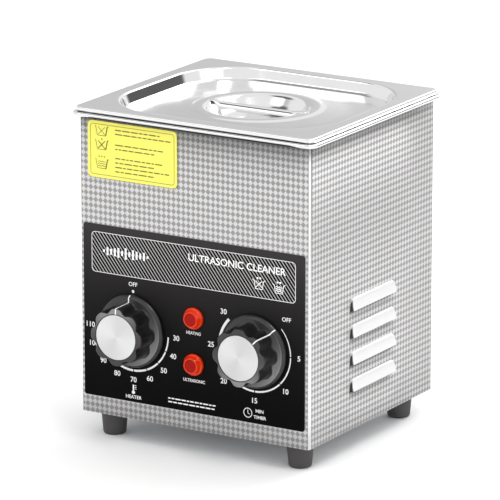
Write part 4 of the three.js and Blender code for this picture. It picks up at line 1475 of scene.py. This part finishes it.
@dataclass
class Lid:
    """The pressed lid: border, pan, crowned floor, dish, and the grip bar across the dish."""

    pan_x: float = 75.0
    pan_y: float = 68.85
    pan_corner: float = 42.0
    pan_depth: float = 7.4
    lip: float = 1.4
    slope: float = 1.35
    crown_rise: float = 2.0
    crown_outer: float = 57.6
    crown_ease: float = 4.8
    ring_outer: float = 39.5
    ring_step: float = 0.8
    dish_radius: float = 32.5
    dish_floor: float = 24.0
    dish_depth: float = 10.0
    edge_corner: float = 5.5
    edge: float = 1.3
    skirt: float = 2.7
    wall: float = 0.8
    box: Extent = field(default_factory=lambda: Extent.of("lid"))

    @property
    def floor(self) -> float:
        """The height of the pan's floor at its edge."""
        return self.box.high[2] - self.pan_depth

    @property
    def ring(self) -> float:
        """The height of the ring round the dish."""
        return self.floor + self.crown_rise

    def stations(self) -> Array:
        """The lid's section from the middle outward, as (half x, half y, corner, height).

        The dish and the crown are circles. The pan's wall, the lip and the border are the pan's
        outline with an offset, and the edge and the skirt are the lid's own outline.

        Returns:
            The stations, as (station, 4).
        """
        round_part = softened([
            (1.5, self.ring - self.dish_depth, 0),
            (self.dish_floor, self.ring - self.dish_depth, 6.0),
            (self.dish_radius, self.ring, 2.6),
            (self.ring_outer, self.ring, 1.3),
            (self.ring_outer + 2.6, self.ring - self.ring_step, 1.3),
            (self.crown_outer, self.floor, self.crown_ease),
            (self.crown_outer + self.crown_ease, self.floor, 0),
        ], 8)[:-1]
        radius, height = round_part.T
        middle = np.column_stack([radius, radius, radius, height])
        top = self.box.high[2]
        pan = softened([
            (-6.2, self.floor, 0),
            (-5.0, self.floor, 0),
            (-self.slope, self.floor, self.lip),
            (self.slope, top, self.lip),
            (3.4, top, 0),
        ], 8)
        extra = np.array([[4.0, top]])
        offset, height = np.concatenate([pan, extra]).T
        pan = np.column_stack([self.pan_x + offset, self.pan_y + offset, self.pan_corner + offset, height])
        rim = softened([(-self.edge - 0.3, top, 0), (0, top, self.edge), (0, top - self.skirt, 0)], 7)
        rim = np.concatenate([[[-self.edge - 0.6, top]], rim])
        offset, height = rim.T
        half_x, half_y = self.box.half[0], self.box.half[1]
        corner = np.maximum(self.edge_corner + offset, 1.0)
        rim = np.column_stack([half_x + offset, half_y + offset, corner, height])
        return np.concatenate([middle, pan, rim])

    def build(self) -> None:
        """Makes the pressing, then the grip bar."""
        angles = corner_angles(self.box.half[0], self.box.half[1], self.edge_corner, coarse=26, fine=12)
        form = skin(pressed(angles, self.stations()), End.POLE, End.OPEN)
        form.faces = [face[::-1] for face in form.faces]
        middle = self.box.middle
        piece = make_piece(
            "pressed_lid", form.moved(0.0, middle[1], 0.0), "lid", Finishes.polished, closed=False
        )
        thicken(piece, self.wall)
        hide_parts("lid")
        self.build_grip(middle[1])

    def build_grip(self, y: float) -> None:
        """Makes the bar across the dish.

        At each station along X its section is half an ellipse: half of the width times cos a, and
        the base plus the rise times sin a. The bar is level over the dish, and at its ends it lifts
        to the ring, flattens and narrows into a tab.

        Args:
            y: The middle of the bar along Y.
        """
        box = Extent.of("lid_grip")
        reach = self.ring_outer - 3.0
        x = np.concatenate([-np.linspace(reach, 20, 22), np.linspace(-18, 18, 7), np.linspace(20, reach, 22)])
        outward = np.clip((np.abs(x) - box.high[0] + 3.0) / 6.5, 0, 1)
        ease = outward * outward * (3 - 2 * outward)
        width = box.half[1] * (1 - 0.3 * ease)
        rise = (box.high[2] - box.low[2]) * (1 - ease) + 0.75 * ease
        base = box.low[2] * (1 - ease) + (self.ring - 0.25) * ease
        tip = np.clip((reach - np.abs(x)) / 2.5, 0, 1)
        width = width * np.sqrt(1 - (1 - tip) ** 2 * 0.9)
        angle = np.concatenate([np.linspace(0, np.pi, 17), np.radians([200, 270, 340])])
        across = np.cos(angle) * np.where(angle > np.pi, 0.9, 1.0)
        lift = np.where(angle > np.pi, 0.0, np.abs(np.sin(angle)) ** 0.8)
        rings = np.stack([
            np.broadcast_to(x[:, None], (len(x), len(angle))),
            y + width[:, None] * across,
            base[:, None] + rise[:, None] * lift,
        ], axis=-1)
        piece = make_piece(
            "grip_bar", skin(rings, End.FLAT, End.FLAT), "lid", Finishes.polished, sharp=50.0
        )
        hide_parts("lid_grip")


# ---------------------------------------------------------------------------------------------
# Control panel and care label
# ---------------------------------------------------------------------------------------------


@dataclass
class Scale:
    """The printed scale round a dial: marks at clock angles, with an arc that grows thicker."""

    x: float
    z: float
    marks: list[tuple[str, float]]
    arc_start: float
    radius: float = 25.5
    number_radius: float = 31.4
    number_height: float = 3.4
    thin: float = 0.6
    thick: float = 1.8
    gap: float = 1.6

    def form(self, low: float) -> Form:
        """The numbers and the arc, whose width rises evenly with its angle.

        Args:
            low: The surface that it is printed on.

        Returns:
            The print.
        """
        forms = []
        for text, clock in self.marks:
            angle = math.radians(90 - clock)
            u = self.x + self.number_radius * math.cos(angle)
            v = self.z + self.number_radius * math.sin(angle)
            forms.append(lettering(text, self.number_height, (u, v), low))
        clocks = [clock for _, clock in self.marks]
        if self.arc_start < clocks[0]:
            clocks = [self.arc_start, *clocks]
        span = clocks[-1] - clocks[0]
        for start, stop in zip(clocks, clocks[1:]):
            turn = np.linspace(start + self.gap / 2, stop - self.gap / 2, 20)
            width = self.thin + (self.thick - self.thin) * (turn - clocks[0]) / span
            angle = np.radians(90 - turn)
            u = self.x + self.radius * np.cos(angle)
            v = self.z + self.radius * np.sin(angle)
            forms.append(stroke(np.stack([u, v], axis=-1), width, low))
        return joined(forms)


@dataclass
class ControlPanel:
    """The black film panel: its lined banner, words, scales and signs."""

    banner_x: float = 73.4
    banner_low: float = 108.3
    banner_high: float = 133.9
    banner_corner: float = 2.5
    banner_thickness: float = 0.05
    box: Extent = field(default_factory=lambda: Extent.of("control_panel"))
    heater: Extent = field(default_factory=lambda: Extent.of("heater_knob"))
    timer: Extent = field(default_factory=lambda: Extent.of("timer_knob"))
    lamp: Extent = field(default_factory=lambda: Extent.of("heating_lamp_lens"))

    def print_on(self, name: str, form: Form, finish: Finish = Finishes.white_ink) -> None:
        """Stands a print on the panel's face."""
        make_piece(name, form.on_front(0.0, self.box.low[1], 0.0), "housing", finish, sharp=20.0)

    def build(self) -> None:
        """Makes the banner, the scales, the words and the signs."""
        self.build_banner()
        heater = [("30", 90.0), ("40", 112.5), ("50", 135.0), ("60", 157.5), ("70", 180.0)]
        heater += [("80", 202.5), ("90", 225.0), ("100", 247.5), ("110", 270.0)]
        timer = [("5", 90.0), ("10", 135.0), ("15", 180.0), ("20", 225.0), ("25", 270.0), ("30", 315.0)]
        heater_x, dial_z = self.heater.middle[0] + 0.3, self.heater.middle[2] - 0.45
        timer_x = self.timer.middle[0]
        scales = [
            Scale(heater_x, dial_z, heater, 90.0, thin=0.9).form(0.0),
            lettering("OFF", 2.7, (heater_x, dial_z + 30.0), 0.0),
            disc((heater_x, dial_z + 25.4), 0.95, 0.0),
            Scale(timer_x, dial_z, timer, 47.0, thin=0.5).form(0.0),
            lettering("OFF", 2.7, (timer_x + 22.6, dial_z + 23.4), 0.0),
        ]
        self.print_on("dial_scales", joined(scales))
        words = [
            lettering("HEATING", 2.0, (self.lamp.middle[0] - 0.6, 78.8), 0.0, 10.4),
            lettering("ULTRASONIC", 2.0, (self.lamp.middle[0] - 0.2, 48.3), 0.0, 15.8),
            lettering("HEATER", 2.2, (-43.4, 31.0), 0.0, 11.5),
            *self.small_print(),
            lettering("MIN", 2.1, (48.0, 35.9), 0.0, 5.6),
            lettering("TIMER", 2.1, (48.2, 31.9), 0.0, 9.0),
        ]
        self.print_on("panel_words", joined(words))
        self.print_on("panel_signs", joined([self.thermometer(-43.6, 35.9), self.clock(39.6, 33.9)]))

    def small_print(self) -> list[Form]:
        """Two rows of short plain bars of seeded lengths, low in the middle of the panel.

        Returns:
            The bars.
        """
        generator = np.random.default_rng(3)
        rows = [(34.4, 16.4), (32.1, 17.2)]
        return plain_bars(generator, rows, start=-18.0, lengths=(1.4, 4.4), shortest=1.0, gap=0.7, width=0.8)

    def thermometer(self, u: float, v: float) -> Form:
        """A sign for temperature: a bulb, a stem and three ticks."""
        ticks = [bar((u + 0.9, v + lift), (u + 2.2, v + lift), 0.35, 0.0) for lift in (0.4, 1.5, 2.6)]
        return joined([disc((u, v - 1.9), 1.15, 0.0), bar((u, v - 1.2), (u, v + 3.0), 1.0, 0.0), *ticks])

    def clock(self, u: float, v: float) -> Form:
        """A sign for time: a ring and two hands."""
        hands = [bar((u, v), (u, v + 1.9), 0.4, 0.0), bar((u, v), (u + 1.2, v - 0.8), 0.4, 0.0)]
        return joined([ring((u, v), 2.9, 0.45, 0.0), *hands])

    def build_banner(self) -> None:
        """Makes the lined banner with its border, the title, a wave sign and two small signs."""
        middle_v = (self.banner_low + self.banner_high) / 2
        half_v = (self.banner_high - self.banner_low) / 2
        angles = corner_angles(self.banner_x, half_v, self.banner_corner, coarse=8, fine=8)
        outline = rounded(angles, self.banner_x, half_v, self.banner_corner) + np.array([0.0, middle_v])
        self.print_on("banner_field", plate(outline, 0.0, self.banner_thickness), Finishes.banner)
        low = self.banner_thickness
        self.print_on("banner_border", stroke(outline, 0.35, low, around=True))
        title = lettering("ULTRASONIC CLEANER", 4.7, (31.8, 126.9), low, 69.6)
        self.print_on("banner_title", title)
        signs = [
            *self.wave_sign(low),
            *self.tank_sign(47.5, 117.2, True, low),
            *self.tank_sign(61.7, 116.4, False, low),
        ]
        self.print_on("banner_signs", joined(signs))

    def wave_sign(self, low: float) -> list[Form]:
        """A row of bars whose heights follow a wave that swells in the middle, as a sign for sound.

        Args:
            low: The surface that it is printed on.

        Returns:
            The bars.
        """
        middle_u, middle_v, half, width = -48.6, 122.4, 16.0, 1.4
        place = np.linspace(-1, 1, 13)
        height = 1.6 + 5.6 * np.abs(np.cos(place * 2.5 * np.pi)) * (1 - 0.5 * place**2)
        forms = []
        for at, tall in zip(place, height):
            u = middle_u + half * at
            forms.append(bar((u, middle_v - tall / 2), (u, middle_v + tall / 2), width, low))
        return forms

    def tank_sign(self, u: float, v: float, crossed: bool, low: float) -> list[Form]:
        """A flared tank with a cross or ripples in it and two marks over it, as a sign for how to fill it.

        Args:
            u: Its middle along the banner.
            v: Its middle up the banner.
            crossed: Whether it holds a cross, and not ripples.
            low: The surface that it is printed on.

        Returns:
            The sign's strokes.
        """
        wall = np.array([[-4.6, 2.4], [-3.2, 1.4], [-2.5, -3.4], [2.5, -3.4], [3.2, 1.4], [4.6, 2.4]])
        outline = stroke(wall + [u, v], 0.55, low)
        over = [
            bar((u - 1.6, v + 3.4), (u - 0.3, v + 3.4), 1.1, low),
            bar((u + 0.3, v + 3.4), (u + 1.6, v + 3.4), 1.1, low),
        ]
        if crossed:
            return [
                outline,
                *over,
                bar((u - 2.2, v - 2.4), (u + 2.2, v + 1.6), 0.5, low),
                bar((u - 2.2, v + 1.6), (u + 2.2, v - 2.4), 0.5, low),
            ]
        ripple = np.linspace(-2.1, 2.1, 21)
        lines = [
            stroke(np.stack([u + ripple, v + lift + 0.35 * np.sin(ripple * 3.0)], axis=-1), 0.55, low)
            for lift in (-2.1, -0.8, 0.5)
        ]
        return [outline, *over, *lines]


@dataclass
class CareLabel:
    """The yellow label: a border, three signs and plain bars where printing would be."""

    corner: float = 3.0
    border_inset: float = 2.0
    border: float = 0.3
    bar_height: float = 0.7
    box: Extent = field(default_factory=lambda: Extent.of("care_label"))

    def build(self) -> None:
        """Makes the label and its print."""
        half_u, half_v = self.box.half[0], self.box.half[2]
        thickness = self.box.high[1] - self.box.low[1]
        middle = self.box.middle
        angles = corner_angles(half_u, half_v, self.corner, coarse=8, fine=8)
        base = plate(rounded(angles, half_u, half_v, self.corner), 0.0, thickness)
        place = (middle[0], self.box.high[1], middle[2])
        label = make_piece("yellow_label", base.on_front(*place), "housing", Finishes.label)
        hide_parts("care_label")
        inner = self.corner - 1.2
        outline = rounded(angles, half_u - self.border_inset, half_v - self.border_inset, inner)
        forms = [stroke(outline, self.border, thickness, around=True), *self.bars(thickness)]
        for i, v in enumerate((11.8, 3.0, -9.0)):
            forms += self.sign(i, -22.2, v, thickness)
        make_piece("label_print", joined(forms).on_front(*place), "housing", Finishes.dark_ink)

    def bars(self, low: float) -> list[Form]:
        """Rows of short bars of seeded lengths, two rows beside each sign.

        Args:
            low: The surface that they are printed on.

        Returns:
            The bars.
        """
        generator = np.random.default_rng(7)
        rows = [(13.5, 22.3), (10.9, 27.8), (4.1, 22.3), (1.4, 15.9)]
        rows += [(-4.4, 24.1), (-7.2, 16.8), (-10.0, 26.8), (-12.8, 15.9)]
        return plain_bars(
            generator,
            rows,
            start=-12.4,
            lengths=(1.6, 6.0),
            shortest=2.0,
            gap=0.8,
            width=self.bar_height,
            low=low,
        )

    def sign(self, number: int, u: float, v: float, low: float) -> list[Form]:
        """A generic sign: a small tank with a cross over it, a plug mark or ripples.

        Args:
            number: Which of the three signs it is.
            u: Its middle along the label.
            v: Its middle up the label.
            low: The surface that it is printed on.

        Returns:
            The sign's strokes.
        """
        wall = stroke(np.array([[-4.9, 3.0], [-4.4, 3.0], [-3.1, -2.9], [2.9, -2.9]]) + [u, v], 0.42, low)
        side = stroke(np.array([[2.9, -2.9], [4.2, 3.0], [4.9, 3.0]]) + [u, v], 0.75, low)
        if number < 2:
            weight = 0.35 + 0.25 * number
            cross = [
                bar((u - 2.6, v - 2.3), (u + 2.4, v + 2.5), weight, low),
                bar((u - 2.6, v + 2.5), (u + 2.4, v - 2.3), weight, low),
            ]
            return [wall, side, *cross, *([disc((u, v + 3.6), 0.5, low)] * number)]
        ripple = np.linspace(-2.8, 2.6, 19)
        waves = [
            stroke(np.stack([u + ripple, v + lift + 0.3 * np.sin(ripple * 2.8)], axis=-1), 0.35, low)
            for lift in (-1.4, 0.0, 1.4)
        ]
        dots = [disc((u + shift, v + 4.6), 0.45, low) for shift in (-2.0, 0.0, 2.0)]
        return [wall, side, *waves, *dots]


# ---------------------------------------------------------------------------------------------
# Dials and lamps
# ---------------------------------------------------------------------------------------------


@dataclass
class Dial:
    """A control knob: a skirted, fluted body with a spun aluminium cap and a painted pointer."""

    name: str
    body: str
    pointer: float
    # Where the painted highlight on the knob's front points, in degrees.
    painted_highlight_turn: float
    lobes: int = 8
    skirt: float = 23.4
    skirt_height: float = 4.8
    core: float = 17.35
    flute: float = 1.3
    cap: float = 14.3
    stand: float = 1.2
    height: float = 19.9
    line: float = 0.75

    @property
    def box(self) -> Extent:
        """The knob's box."""
        return Extent.of(f"{self.name}_knob")

    @property
    def face(self) -> float:
        """The panel's face, which heights are measured from, along Y."""
        return Extent.of("control_panel").low[1]

    def wave(self, angle: Array) -> Array:
        """The flutes, 1 - 2 ((1 - cos(lobes a)) / 2)^2, which has broad lobes and narrow hollows."""
        hollow = (1 - np.cos(self.lobes * (angle - math.radians(self.pointer)))) / 2
        return 1 - 2 * hollow**2

    @property
    def place(self) -> tuple[float, float, float]:
        """Where the knob's axis meets the panel's face."""
        middle = self.box.middle
        return (middle[0], self.face, middle[2])

    @property
    def centre(self) -> tuple[float, float]:
        """The axis in X and Z, which the turned faces' rings run round."""
        middle = self.box.middle
        return (float(middle[0]), float(middle[2]))

    def build(self) -> None:
        """Makes the body, the cap and the pointer."""
        self.build_knob()
        self.build_cap()
        make_piece(
            f"{self.name}_pointer",
            self.pointer_line().on_front(*self.place),
            self.body,
            Finishes.white_ink,
        )

    def build_knob(self) -> None:
        """Makes the fluted body with its skirt.

        Each station of its section is a radius, how much the flutes add to it, and a height.
        """
        nut = Extent.of("thermostat_nut" if self.name == "heater" else "timer_nut")
        bore = nut.half[0] + 1.6
        stations = np.array([
            (bore, 0, 6.0),
            (bore, 0, self.stand),
            (self.skirt - 0.3, 0, self.stand),
            (self.skirt, 0, self.stand + 0.3),
            (self.skirt, 0, 2.7),
            (self.skirt - 0.25, 0, 3.05),
            (self.skirt - 1.5, 0, 4.55),
            (self.skirt - 1.9, 0, self.skirt_height),
            (self.skirt - 2.3, 0, self.skirt_height),
            (self.core + 0.7, self.flute, self.skirt_height),
            (self.core + 0.45, self.flute, self.skirt_height + 0.1),
            (self.core + 0.2, self.flute, self.skirt_height + 0.5),
            (self.core + 0.1, self.flute, 8.0),
            (self.core - 0.1, self.flute, 18.6),
            (self.core - 0.2, self.flute, 19.2),
            (self.core - 0.45, self.flute, 19.65),
            (self.core - 0.8, self.flute * 0.96, 19.85),
            (self.core - 1.0, self.flute * 0.9, self.height),
            (self.cap + 0.55, 0.0, self.height),
            (self.cap + 0.35, 0, self.height - 0.2),
            (self.cap + 0.35, 0, self.height - 0.9),
        ])
        angle = np.linspace(0, 2 * np.pi, 240, endpoint=False)
        radius = stations[:, :1] + stations[:, 1:2] * self.wave(angle)
        height = np.broadcast_to(stations[:, 2:], radius.shape)
        rings = np.stack([radius * np.cos(angle), radius * np.sin(angle), height], axis=-1)
        knob = make_piece(
            f"{self.name}_fluted_knob",
            skin(rings, End.POLE, End.POLE).on_front(*self.place),
            self.body,
            Finishes.gloss_black,
            sharp=40.0,
        )
        # Glossy black ABS, mould-faced, with a painted highlight: a soft grey fan painted on the skirt, and
        # another on the front, whose colour is also painted lighter.
        skirt_face = FacedPlasticPaintedHighlight(
            f"faced_black_abs_painted_highlight_{self.name}_skirt",
            "#1A1A1B",
            0.34,
            ior=1.54,
            relief=0.004,
            centre=self.centre,
            turn=-35.0,
        )
        front_face = FacedPlasticPaintedHighlight(
            f"faced_black_abs_painted_highlight_{self.name}_front",
            "#232324",
            0.34,
            ior=1.54,
            relief=0.004,
            centre=self.centre,
            turn=self.painted_highlight_turn,
        )
        rows = np.repeat(np.arange(len(stations) - 1), len(angle))
        kind = np.zeros(len(knob.data.polygons), dtype=np.int32)
        for number, face, first, last in ((1, skirt_face, 6, 8), (2, front_face, 15, 17)):
            knob.data.materials.append(face.make())
            kind[: len(rows)][(rows >= first) & (rows <= last)] = number
        knob.data.polygons.foreach_set("material_index", kind)
        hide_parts(f"{self.name}_knob")

    def build_cap(self) -> None:
        """Turns the cap's section round the knob's axis."""
        section = np.array([
            (self.cap - 0.2, 19.0),
            (self.cap, 19.15),
            (self.cap, 19.8),
            (self.cap - 0.22, 19.97),
            (4.0, 19.97),
        ])
        # Aluminium, faced on a lathe: pale, with a soft double fan painted about the centre as its
        # reflection.
        spun = SpunMetalPaintedFan(
            f"spun_aluminium_painted_fan_{self.name}", "#D8D8D8", 0.36, metallic=1.0, relief=0.003, centre=self.centre
        )
        cap = make_piece(
            f"{self.name}_spun_cap",
            turned(section, 96, End.FLAT, End.POLE).on_front(*self.place),
            self.body,
            spun,
        )
        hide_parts(f"{self.name}_knob_cap")

    def pointer_line(self) -> Form:
        """The painted line: a strap that follows the lobe's section from the cap to the skirt's edge.

        Returns:
            The line.
        """
        crest = self.core + self.flute
        section = np.array([
            (self.cap + 0.5, self.height),
            (crest - 1.0, self.height),
            (crest - 0.45, 19.68),
            (crest - 0.18, 19.2),
            (crest - 0.08, 18.6),
            (crest + 0.12, 8.0),
            (crest + 0.22, self.skirt_height + 0.5),
            (crest + 0.6, self.skirt_height),
            (self.skirt - 1.9, self.skirt_height),
            (self.skirt - 1.4, 4.5),
            (self.skirt - 0.2, 3.05),
        ])
        along = np.gradient(section, axis=0)
        along = along / np.linalg.norm(along, axis=1, keepdims=True)
        angle = math.radians(self.pointer)
        outward = np.array([math.cos(angle), math.sin(angle), 0.0])
        across = np.array([-math.sin(angle), math.cos(angle), 0.0])
        axis = np.array([0.0, 0.0, 1.0])
        path = section[:, :1] * outward + section[:, 1:] * axis
        up = -along[:, 1:] * outward + along[:, :1] * axis
        return strap(path - up * 0.03, np.broadcast_to(across, path.shape), up, self.line, 0.08)


@dataclass
class PilotLamp:
    """A pilot lamp: a bevelled acrylic rim and a round face."""

    name: str
    bezel: float = 6.9
    face: float = 4.2
    reach: float = 5.2
    seat: float = 0.3

    def build(self) -> None:
        """Turns the rim, which is a closed ring, and the face, which is a shallow dome."""
        middle = Extent.of(f"{self.name}_lens").middle
        place = (middle[0], Extent.of("control_panel").low[1], middle[2])
        rim = softened([
            (self.face - 0.1, 3.0, 0),
            (self.face - 0.1, self.seat, 0),
            (self.bezel, self.seat, 0.2),
            (self.bezel, self.seat + 1.5, 0.5),
            (self.bezel - 0.9, self.seat + 2.3, 0.4),
            (self.face + 0.6, self.reach, 0.45),
            (self.face - 0.1, self.reach - 0.15, 0.25),
            (self.face - 0.1, 3.5, 0),
        ], 5)
        bezel = make_piece(
            f"{self.name}_bevel",
            turned(rim, 72, End.OPEN, End.OPEN, around=True).on_front(*place),
            "housing",
            Finishes.lamp_rim,
            sharp=50.0,
        )
        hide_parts(f"{self.name}_lens")
        dome = softened([
            (self.face - 0.15, 3.2, 0),
            (self.face - 0.15, self.reach - 0.55, 0.3),
            (self.face * 0.5, self.reach - 0.4, 0),
            (0.3, self.reach - 0.35, 0),
        ])
        make_piece(
            f"{self.name}_face",
            turned(dome, 64, End.FLAT, End.POLE).on_front(*place),
            "housing",
            Finishes.lamp_face,
        )


# ---------------------------------------------------------------------------------------------
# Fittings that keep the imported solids
# ---------------------------------------------------------------------------------------------


@dataclass
class Fittings:
    """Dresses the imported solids: the rear, the base, and what is inside."""

    finishes: dict[Slot, Finish] = field(default_factory=lambda: {
        Slot.WRAP: Finishes.wrap,
        Slot.STEEL: Finishes.polished,
        Slot.ZINC: Finishes.zinc,
        Slot.ALUMINIUM: Finishes.aluminium,
        Slot.BRASS: Finishes.brass,
        Slot.COPPER: Finishes.copper,
        Slot.CERAMIC: Finishes.ceramic,
        Slot.GLOSS: Finishes.gloss_black,
        Slot.PANEL: Finishes.panel,
        Slot.LABEL: Finishes.label,
        Slot.LAMP: Finishes.lamp_rim,
        Slot.RUBBER: Finishes.rubber,
        Slot.BLACK_PLASTIC: Finishes.black_plastic,
        Slot.CREAM_PLASTIC: Finishes.cream_plastic,
        Slot.BOARD: Finishes.board,
        Slot.SILICONE: Finishes.silicone,
        Slot.RED_WIRE: Finishes.red_wire,
        Slot.BLUE_WIRE: Finishes.blue_wire,
    })

    def build(self) -> None:
        """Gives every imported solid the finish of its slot."""
        by_name = {slot.value: finish for slot, finish in self.finishes.items()}
        for name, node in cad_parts.items():
            for holder in node.material_slots:
                known = holder.material.name.split(".")[0] if holder.material else ""
                if known not in by_name:
                    log.warning("%s has the unknown slot %s", name, known)
                holder.material = by_name.get(known, Finishes.zinc).make()
            if not node.material_slots:
                node.data.materials.append(Finishes.zinc.make())
                log.warning("%s has no material slot", name)


# ---------------------------------------------------------------------------------------------
# Studio
# ---------------------------------------------------------------------------------------------


@dataclass(frozen=True)
class SoftBox:
    """A square soft light: its place and the length of its side in metres, and its power in watts."""

    name: str
    place: tuple[float, float, float]
    size: float
    power: float


@dataclass(frozen=True)
class RoomPart:
    """A round part of the room that is brighter or dimmer than the rest.

    It starts and is full at the cosines of two angles from its direction.
    """

    towards: tuple[float, float, float]
    start: float
    full: float
    level: float


@dataclass
class Studio:
    """A pale floor, large soft lights and the camera."""

    azimuth: float = 31.134
    elevation: float = 15.078
    distance: float = 3.03005
    lens: float = 347.74
    aim: tuple[float, float, float] = (0.0, 0.008, 0.105)
    aim_right: float = -0.00477
    aim_up: float = 0.00861
    floor_half: float = 9.0
    floor_drop: float = 0.00005
    lights: tuple[SoftBox, ...] = (
        SoftBox("key_light", (-1.3, -1.8, 2.6), 2.0, 10.0),
        SoftBox("fill_light", (2.4, -0.6, 1.6), 2.0, 7.0),
        SoftBox("top_light", (0.9, 1.6, 2.4), 2.0, 9.0),
        SoftBox("glint_light", (0.9, -0.55, 1.9), 0.5, 7.0),
    )
    room: tuple[RoomPart, ...] = (
        RoomPart((-0.66, 0.68, 0.32), 0.945, 0.975, 0.66),
        RoomPart((0.55, 0.83, 0.13), 0.94, 0.98, 0.12),
        RoomPart((-0.5, -0.05, 0.86), 0.95, 0.985, 0.15),
        RoomPart((0.18, 0.83, 0.53), 0.955, 0.985, 5.0),
    )

    def build(self) -> None:
        """Makes the floor, the lights, the surroundings and the camera."""
        self.floor()
        for soft_box in self.lights:
            self.hang(soft_box)
        self.surroundings()
        self.camera()

    def floor(self) -> None:
        """Makes the floor, just under the feet."""
        half = self.floor_half
        mesh = bpy.data.meshes.new("floor")
        corners = [(-half, -half), (half, -half), (half, half), (-half, half)]
        mesh.from_pydata([(x, y, -self.floor_drop) for x, y in corners], [], [(0, 1, 2, 3)])
        # Matt white studio paper.
        paper = Finish("white_studio_paper", "#FFFFFF", 0.9, grain=3.0, relief=0.0, mottle=0.0)
        mesh.materials.append(paper.make())
        floor = bpy.data.objects.new("floor", mesh)
        bpy.context.scene.collection.objects.link(floor)

    def hang(self, soft_box: SoftBox) -> None:
        """Hangs a soft light so that it faces the object.

        Args:
            soft_box: The light.
        """
        data = bpy.data.lights.new(soft_box.name, "AREA")
        data.shape = "SQUARE"
        data.size = soft_box.size
        data.energy = soft_box.power
        light = bpy.data.objects.new(soft_box.name, data)
        light.location = soft_box.place
        light.rotation_mode = "QUATERNION"
        towards = Vector(self.aim) - Vector(soft_box.place)
        light.rotation_quaternion = towards.to_track_quat("-Z", "Y")
        bpy.context.scene.collection.objects.link(light)

    def surroundings(self) -> None:
        """Lights the room evenly, but for four round parts of it.

        The strength is the product of the parts' own. One is dim, low behind the object on its left.
        One is dark, low on its right, and another overhead, as open doors and rigging leave them.
        The last is a bright window behind the object and above it.
        """
        world = bpy.data.worlds.new("studio")
        world.use_nodes = True
        tree = world.node_tree
        tree.nodes.clear()
        direction = add_node(tree, "ShaderNodeTexCoord").outputs["Generated"]
        parts = []
        for part in self.room:
            near = add_node(
                tree,
                "ShaderNodeVectorMath",
                {"operation": "DOT_PRODUCT", 1: Vector(part.towards).normalized()},
                {0: direction},
            )
            own = add_node(
                tree,
                "ShaderNodeMapRange",
                {
                    "interpolation_type": "SMOOTHSTEP",
                    "From Min": part.start,
                    "From Max": part.full,
                    "To Min": 1.0,
                    "To Max": part.level,
                },
                {"Value": near.outputs["Value"]},
            )
            parts.append(own.outputs["Result"])
        strength = parts[0]
        for own in parts[1:]:
            product = add_node(tree, "ShaderNodeMath", {"operation": "MULTIPLY"}, {0: strength, 1: own})
            strength = product.outputs[0]
        background = add_node(
            tree, "ShaderNodeBackground", {"Color": to_linear("#FFFFFF")}, {"Strength": strength}
        )
        add_node(tree, "ShaderNodeOutputWorld", links={"Surface": background.outputs[0]})
        bpy.context.scene.world = world

    def camera(self) -> None:
        """Places the camera: back along its azimuth and elevation from the point that it looks at."""
        azimuth, elevation = math.radians(self.azimuth), math.radians(self.elevation)
        right = Vector((math.cos(azimuth), math.sin(azimuth), 0.0))
        level = math.cos(elevation)
        back = Vector((math.sin(azimuth) * level, -math.cos(azimuth) * level, math.sin(elevation)))
        up = back.cross(right)
        look_at = Vector(self.aim) + right * self.aim_right + up * self.aim_up
        data = bpy.data.cameras.new("camera")
        data.lens = self.lens
        data.sensor_width = 36.0
        data.clip_start, data.clip_end = 0.1, 50.0
        camera = bpy.data.objects.new("camera", data)
        camera.location = look_at + back * self.distance
        camera.rotation_mode = "QUATERNION"
        camera.rotation_quaternion = (-back).to_track_quat("-Z", "Y")
        bpy.context.scene.collection.objects.link(camera)
        bpy.context.scene.camera = camera
        bpy.context.scene.view_settings.view_transform = "Standard"


def main() -> None:
    """Builds the object and the studio in order."""
    logging.basicConfig(level=logging.INFO, format="%(message)s")
    Studio().build()
    Fittings().build()
    HousingWrap().build()
    Feet().build()
    Tank().build()
    Lid().build()
    ControlPanel().build()
    CareLabel().build()
    Dial("heater", "heater_dial", 90.0, painted_highlight_turn=100.0).build()
    Dial("timer", "timer_dial", 45.0, painted_highlight_turn=-85.0).build()
    PilotLamp("heating_lamp").build()
    PilotLamp("ultrasonic_lamp").build()


if __name__ == "__main__":
    main()
